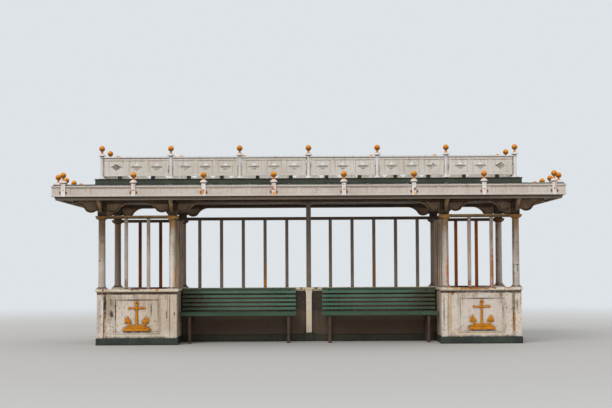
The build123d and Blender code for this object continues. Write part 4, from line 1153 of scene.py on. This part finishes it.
def makeBalustrade(setting):
    green, inner, white = finishes(setting, "greenFootBlock", "innerBalustrade", "whitePost")
    base = 2 * setting["post"]["base"]
    blockTop = curbHigh.z + setting["blockHeight"]
    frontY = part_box("front_balustrade")[0].y

    def facing(centre, normal):
        if centre.z < blockTop:
            return 1
        lengthwise = abs(centre.y) > -frontY - 0.1 and abs(normal.y) > abs(normal.x)
        inward = normal.y * centre.y if lengthwise else normal.x * centre.x
        return 2 if inward < -0.5 else 0

    for material, sides, along, span, bays in (
        ("creamBalustrade", ("front", "rear"), (1, 0, 0), postHigh.x - postLow.x, setting["lengthBays"]),
        ("creamSideBalustrade", ("left", "right"), (0, 1, 0), postHigh.y - postLow.y, setting["sideBays"]),
    ):
        # dark lines where the panels meet the posts: rust, with painted shade in the gap
        joints = [(setting["jointTone"], 0.9, along, (span - base) / bays, setting["jointWidth"])]
        cream = agedFinish(material, dict(setting["creamBalustrade"], joints=joints))
        dressNodes([side + "_balustrade" for side in sides], "_panels", setting["edge"],
                   [cream, green, inner], facing)
    makePosts(setting, white)


def makeBalls(setting):
    ball, neck, rise, wide = (setting[key] for key in ("ball", "neck", "neckHeight", "foot"))
    gold = finishes(setting, "goldenPaint")
    start, steps = math.asin(neck / ball), 14
    for name in ("balustrade_balls", "fascia_balls"):
        mesh = bmesh.new()
        for x, y, foot in nodeParts(name):
            middle = foot + rise + math.sqrt(ball ** 2 - neck ** 2)
            profile = [(wide, foot), (wide, foot + 0.003)]
            profile += bend(profile[-1], (neck, foot + 0.006), (neck, foot + rise * 0.7), 5)
            for index in range(steps + 1):
                angle = start + (math.pi - start) * index / steps
                radius = ball * math.sin(angle) if index < steps else 0
                profile.append((radius, middle - ball * math.cos(angle)))
            turn(mesh, profile, x, y, 24)
        makePiece("golden_" + name, mesh, gold, [name], smooth=60)


makeBalustrade(balustradeSetting)
makeBalls(ballSetting)

# Straps over the fascia, with a bolt in the middle and a rusty lug on each side
strapSetting = dict(
    half=0.035, thickness=0.020, rise=0.032, cap=0.0615, capHeight=0.058, seat=0.031, bolt=0.009,
    boltAbove=0.012,
    lugBolt=0.0075, lugHalf=0.013, lugOut=0.012, lugBack=0.016, lugFoot=0.048, lugTop=0.080, frontFrom=0.6,
    whiteStrap=dict(
        whiteCoat, paint=(232, 226, 220), faded=(241, 237, 232), patch=5, mottle=0.12, grain=50,
        grime=((120, 78, 46), 1.6, 0.022), edges=((168, 96, 46), 1.2, 0.005), rust=(0.34, 13),
        # the dark tone on down-facing faces is painted shade under the strap caps
        under=((96, 72, 66), 0.85, -0.2), runs=[((196, 118, 54), 0.95, 2.60, 0.16, 60)],
        stains=faceStainsAndPaintedLight(
            -1.78, 0.08,
            ((216, 146, 54), 0.95, -1.75, 2.53, 0.05, 0.08), ((190, 112, 34), 0.95, -0.60, 2.60, 0.035, 0.05),
            ((226, 168, 96), 0.95, -0.58, 2.50, 0.05, 0.05), ((176, 72, 34), 0.95, 0.62, 2.58, 0.025, 0.10),
            ((140, 76, 40), 0.95, 1.745, 2.57, 0.025, 0.05), ((232, 182, 104), 0.9, 1.75, 2.50, 0.05, 0.05),
        ),
    ),
    rustyBolt=dict(
        paint=(104, 56, 28), faded=(168, 92, 36), patch=16, mottle=0.3, grain=90, relief=0.6, rust=(0.6, 30),
        roughness=(0.6, 0.9),
    ),
)


def makeStraps(setting):
    white, rusty = finishes(setting, "whiteStrap", "rustyBolt")
    low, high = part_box("fascia_finial_straps")
    foot, strapTop = low.z, high.z - setting["capHeight"]
    top = strapTop - setting["rise"]
    half, cap, lugHalf = setting["half"], setting["cap"], setting["lugHalf"]
    lugFoot, lugTop = foot + setting["lugFoot"], foot + setting["lugTop"]
    profile = [(half * 0.95, strapTop - 0.004)]
    profile += bend(profile[-1], (half + 0.006, strapTop + 0.004), (cap - 0.004, strapTop + 0.016), 6)
    profile += [(cap - 0.001, strapTop + 0.018), (cap, strapTop + 0.021), (cap - 0.001, strapTop + 0.025)]
    profile += bend(profile[-1], (cap - 0.008, strapTop + 0.042), (setting["seat"], high.z), 8)
    mesh, bolts = bmesh.new(), bmesh.new()
    places = nodeParts("fascia_balls")
    for x, y, ballFoot in places:
        onLongSide = abs(y) > lineY + setting["frontFrom"]
        out = Vector((0, math.copysign(1, y), 0)) if onLongSide else Vector((math.copysign(1, x), 0, 0))
        middle, side = Vector((x, y, 0)), Vector((out.y, -out.x, 0))
        face = middle + out * half
        for near, far, z0, z1 in (
            (face - out * setting["thickness"], face, foot, top + 0.001),
            (middle - out * half, face, top, strapTop),
        ):
            corners = [near - side * half, near + side * half, far - side * half, far + side * half]
            xs, ys = [corner.x for corner in corners], [corner.y for corner in corners]
            solidBox(mesh, (min(xs), min(ys), z0), (max(xs), max(ys), z1))
        for sign in (-1, 1):
            lug = face - out * setting["lugBack"] + side * sign * (half + setting["lugOut"])
            solidBox(bolts, (lug.x - lugHalf, lug.y - lugHalf, lugFoot),
                     (lug.x + lugHalf, lug.y + lugHalf, lugTop))
            head = lug + out * lugHalf + Vector((0, 0, (lugFoot + lugTop) / 2))
            boltHead(bolts, head, out, setting["lugBolt"], 0.003)
        head = face + Vector((0, 0, (foot + top) / 2 + setting["boltAbove"]))
        boltHead(bolts, head, out, setting["bolt"], 0.006, 10)
    softenEdges(mesh, 0.0035)
    for x, y, ballFoot in places:
        turn(mesh, profile, x, y, 28)
    makePiece("fascia_strap_castings", mesh, [white], ["fascia_finial_straps"])
    makePiece("fascia_strap_bolts", bolts, [rusty])


makeStraps(strapSetting)
print("balustrade and finials ready")

# Benches: rounded slats on cast supports
slatCoat = dict(patch=2.2, grain=55, stretch=(0.05, 1, 1), relief=0.7, bump=0.45)
benchSetting = dict(
    round=0.005, warp=0.0015, screw=0.007, supports=(0.355, 2.053), seatTop=0.533, seatFront=0.196,
    slatPitch=0.0763,
    seatSlats=6, topSlat=0.046, supportEdge=0.005,
    greenBackSlat=dict(
        slatCoat, paint=(84, 122, 100), faded=(102, 138, 116), lines=((58, 80, 68), 0.35),
        roughness=(0.38, 0.75),
        stains=[((84, 82, 62), 0.8, (sign * 2.1, 0, 0.75), (0.42, 1, 0.5)) for sign in (-1, 1)],
        grime=((40, 44, 36), 1.5, 0.02), edges=((96, 78, 58), 1.0, 0.005),
    ),
    greenSeatSlat=dict(
        slatCoat, paint=(60, 84, 66), faded=(72, 96, 76), lines=((50, 66, 56), 0.4), roughness=(0.4, 0.8),
        stains=[((80, 78, 58), 0.8, (sign * 2.2, 0, 0.6), (0.42, 1, 0.6)) for sign in (-1, 1)],
        grime=((38, 38, 31), 1.5, 0.02), edges=((92, 74, 54), 1.1, 0.005),
    ),
    wornSlatEdge=dict(
        slatCoat, paint=(122, 74, 62), faded=(96, 84, 66), patch=6, mottle=0.25, roughness=(0.5, 0.9),
    ),
    benchIron=dict(
        paint=(76, 60, 48), faded=(90, 74, 60), patch=4, grime=((40, 32, 26), 1.4, 0.03),
        edges=((120, 104, 82), 0.9, 0.005), rust=(0.4, 10), roughness=(0.45, 0.85),
    ),
)


def makeBenches(setting):
    bright, deep, wornAndLitEdge, iron = finishes(
        setting, "greenBackSlat", "greenSeatSlat", "wornSlatEdge", "benchIron")
    seatTop, front, pitch = setting["seatTop"], setting["seatFront"], setting["slatPitch"]
    depths = [front + pitch * (index + 0.5) for index in range(setting["seatSlats"])]
    for place in ("front_left", "front_right", "rear_left", "rear_right"):
        name = place + "_bench_slats"
        mesh = cadMesh(name)
        for vert in mesh.verts:
            vert.co.x += random.uniform(-setting["warp"], setting["warp"])
        softenEdges(mesh, setting["round"], 3)
        low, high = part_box(name)
        sideX, sideY = math.copysign(1, high.x + low.x), math.copysign(1, high.y + low.y)
        for x in setting["supports"]:
            for depth in depths:
                screwAt = (sideX * x, sideY * depth, seatTop - 0.0005)
                boltHead(mesh, screwAt, (0, 0, 1), setting["screw"], 0.003)
        topSlat = high.z - setting["topSlat"]

        def surface(centre, normal):
            if centre.z < seatTop + 0.003 or centre.z > topSlat:
                return 1
            return 2 if abs(normal.z) > 0.9 or normal.y * sideY < -0.5 else 0

        makePiece(name + "_timber", mesh, [bright, deep, wornAndLitEdge], [name], surface)
    dressNodes(("front_bench_supports", "rear_bench_supports"), "_castings", setting["supportEdge"], [iron])


makeBenches(benchSetting)
print("benches ready")

# Ornaments: a golden anchor over a layered wave on each end bay panel
ornamentSetting = dict(
    height=0.500, bar=0.040, back=0.009, shankFoot=0.018, ring=0.036, ringRadius=0.024, ringBar=0.011,
    stockDrop=0.082,
    stock=0.130, stockBall=0.021, armRadius=0.164, armInset=0.013, flukeReach=0.158, fluke=0.074,
    wave=((0.226, -0.250, 0.026), (0.196, -0.218, 0.021), (0.150, -0.190, 0.016)), waveSwell=0.022,
    plateEdge=0.002,
    goldenAnchor=dict(
        paint=(206, 124, 8), faded=(226, 146, 20), patch=8, mottle=0.3, grain=60, relief=0.6, bump=0.45,
        # the bright edge tone is painted highlight along the gilt edges, with wear
        grime=((88, 44, 10), 2.2, 0.03), edges=((242, 176, 74), 0.9, 0.005), rust=(0.2, 16),
        specks=[((112, 62, 14), 0.85, 46, 0.56)], roughness=(0.4, 0.75),
    ),
    anchorShade=dict(
        paint=(58, 46, 34), faded=(84, 66, 46), patch=8, mottle=0.16, grain=60, roughness=(0.7, 0.9),
    ),
)


def addSlab(mesh, outline, place, depth, crown):  # a flat shape with a crowned face, outline in (across, up)
    midX, midZ = [sum(point[axis] for point in outline) / len(outline) for axis in (0, 1)]
    rings = []
    for shrink, out in ((1.0, 0.0), (1.0, depth), (0.86, depth + crown * 0.7), (0.5, depth + crown)):
        rings.append([mesh.verts.new(place(midX + (x - midX) * shrink, midZ + (z - midZ) * shrink, out))
                      for x, z in outline])
    stack(mesh, rings)


def waveOutline(reach, foot, tall, crests):  # a strip whose top edge rolls in crests
    top = []
    count = crests * 8
    for index in range(count + 1):
        roll = abs(math.sin(math.pi * index / 8)) ** 0.7
        top.append((-reach + 2 * reach * index / count, foot + tall * (0.55 + 0.45 * roll)))
    return [(reach * 0.97, foot)] + top[::-1] + [(-reach * 0.97, foot)]


def addAnchor(mesh, setting, at, out):  # at gives the place of (across, up, outward) on the panel
    half, bar, fluke = setting["height"] / 2, setting["bar"], setting["fluke"]
    ringMiddle, foot = half - setting["ring"], setting["shankFoot"] - half
    sweep(mesh, [at(0, z, 0.004) for z in (foot, foot * 0.5, 0, ringMiddle - 0.03)],
          lambda t: bar * (0.56 - 0.12 * t), 12)
    radius = setting["ringRadius"]
    sweep(mesh, [at(math.cos(a) * radius, ringMiddle + math.sin(a) * radius, 0.008)
                 for a in [2 * math.pi * step / 20 for step in range(21)]], setting["ringBar"], 8)
    stock, stockZ = setting["stock"], ringMiddle - setting["stockDrop"]
    sweep(mesh, [at(x * stock, stockZ, 0.006) for x in (-1, -0.6, -0.2, 0.2, 0.6, 1)],
          lambda t: bar * (0.30 + 0.16 * (1 - abs(2 * t - 1))), 10)
    for x in (-1, 1):
        boltHead(mesh, at(x * stock, stockZ, 0.0), out, setting["stockBall"], 0.022, 12)
    radius = setting["armRadius"] - setting["armInset"]
    armMiddle = foot + setting["armInset"] + setting["armRadius"]
    sweep(mesh, [at(math.sin(a) * radius, armMiddle - math.cos(a) * radius, 0.006)
                 for a in [math.radians(step) for step in range(-80, 81, 8)]],
          lambda t: bar * (0.36 + 0.26 * (1 - abs(2 * t - 1))), 10)
    for x in (-1, 1):
        tipX, tipZ = x * setting["flukeReach"], -0.004
        outline = [
            (tipX, tipZ), (tipX - x * 0.030, tipZ - fluke * 0.55), (tipX - x * fluke, tipZ - fluke * 1.35),
            (tipX - x * 0.010, tipZ - fluke * 1.52), (tipX + x * 0.046, tipZ - fluke * 1.38),
            (tipX + x * 0.028, tipZ - fluke * 0.6),
        ]
        addSlab(mesh, outline[::x], at, 0.016, 0.010)
    for index, (reach, low, tall) in enumerate(setting["wave"]):
        layer = waveOutline(reach, low, tall + setting["waveSwell"], 6 - index)
        addSlab(mesh, layer, at, 0.030 - index * 0.006, 0.004)


def makeOrnaments(setting):
    gold, shade = finishes(setting, "goldenAnchor", "anchorShade")
    low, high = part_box("panel_ornaments")
    mesh = bmesh.new()
    for signX in (-1, 1):
        for signY in (-1, 1):
            face = signY * (abs(high.y) - setting["back"])
            centre = Vector((signX * (innerX + outerX) / 2, face, (low.z + high.z) / 2))

            def at(across, up, out):
                return centre + Vector((across, signY * out, up))

            addAnchor(mesh, setting, at, (0, signY, 0))
    makePiece("golden_anchors", mesh, [gold])
    mesh = cadMesh("panel_ornaments", setting["plateEdge"])
    makePiece("golden_anchor_plates", mesh, [gold, shade], ["panel_ornaments"],
              lambda centre, normal: int(abs(normal.y) < 0.5))


makeOrnaments(ornamentSetting)
print("ornaments ready")
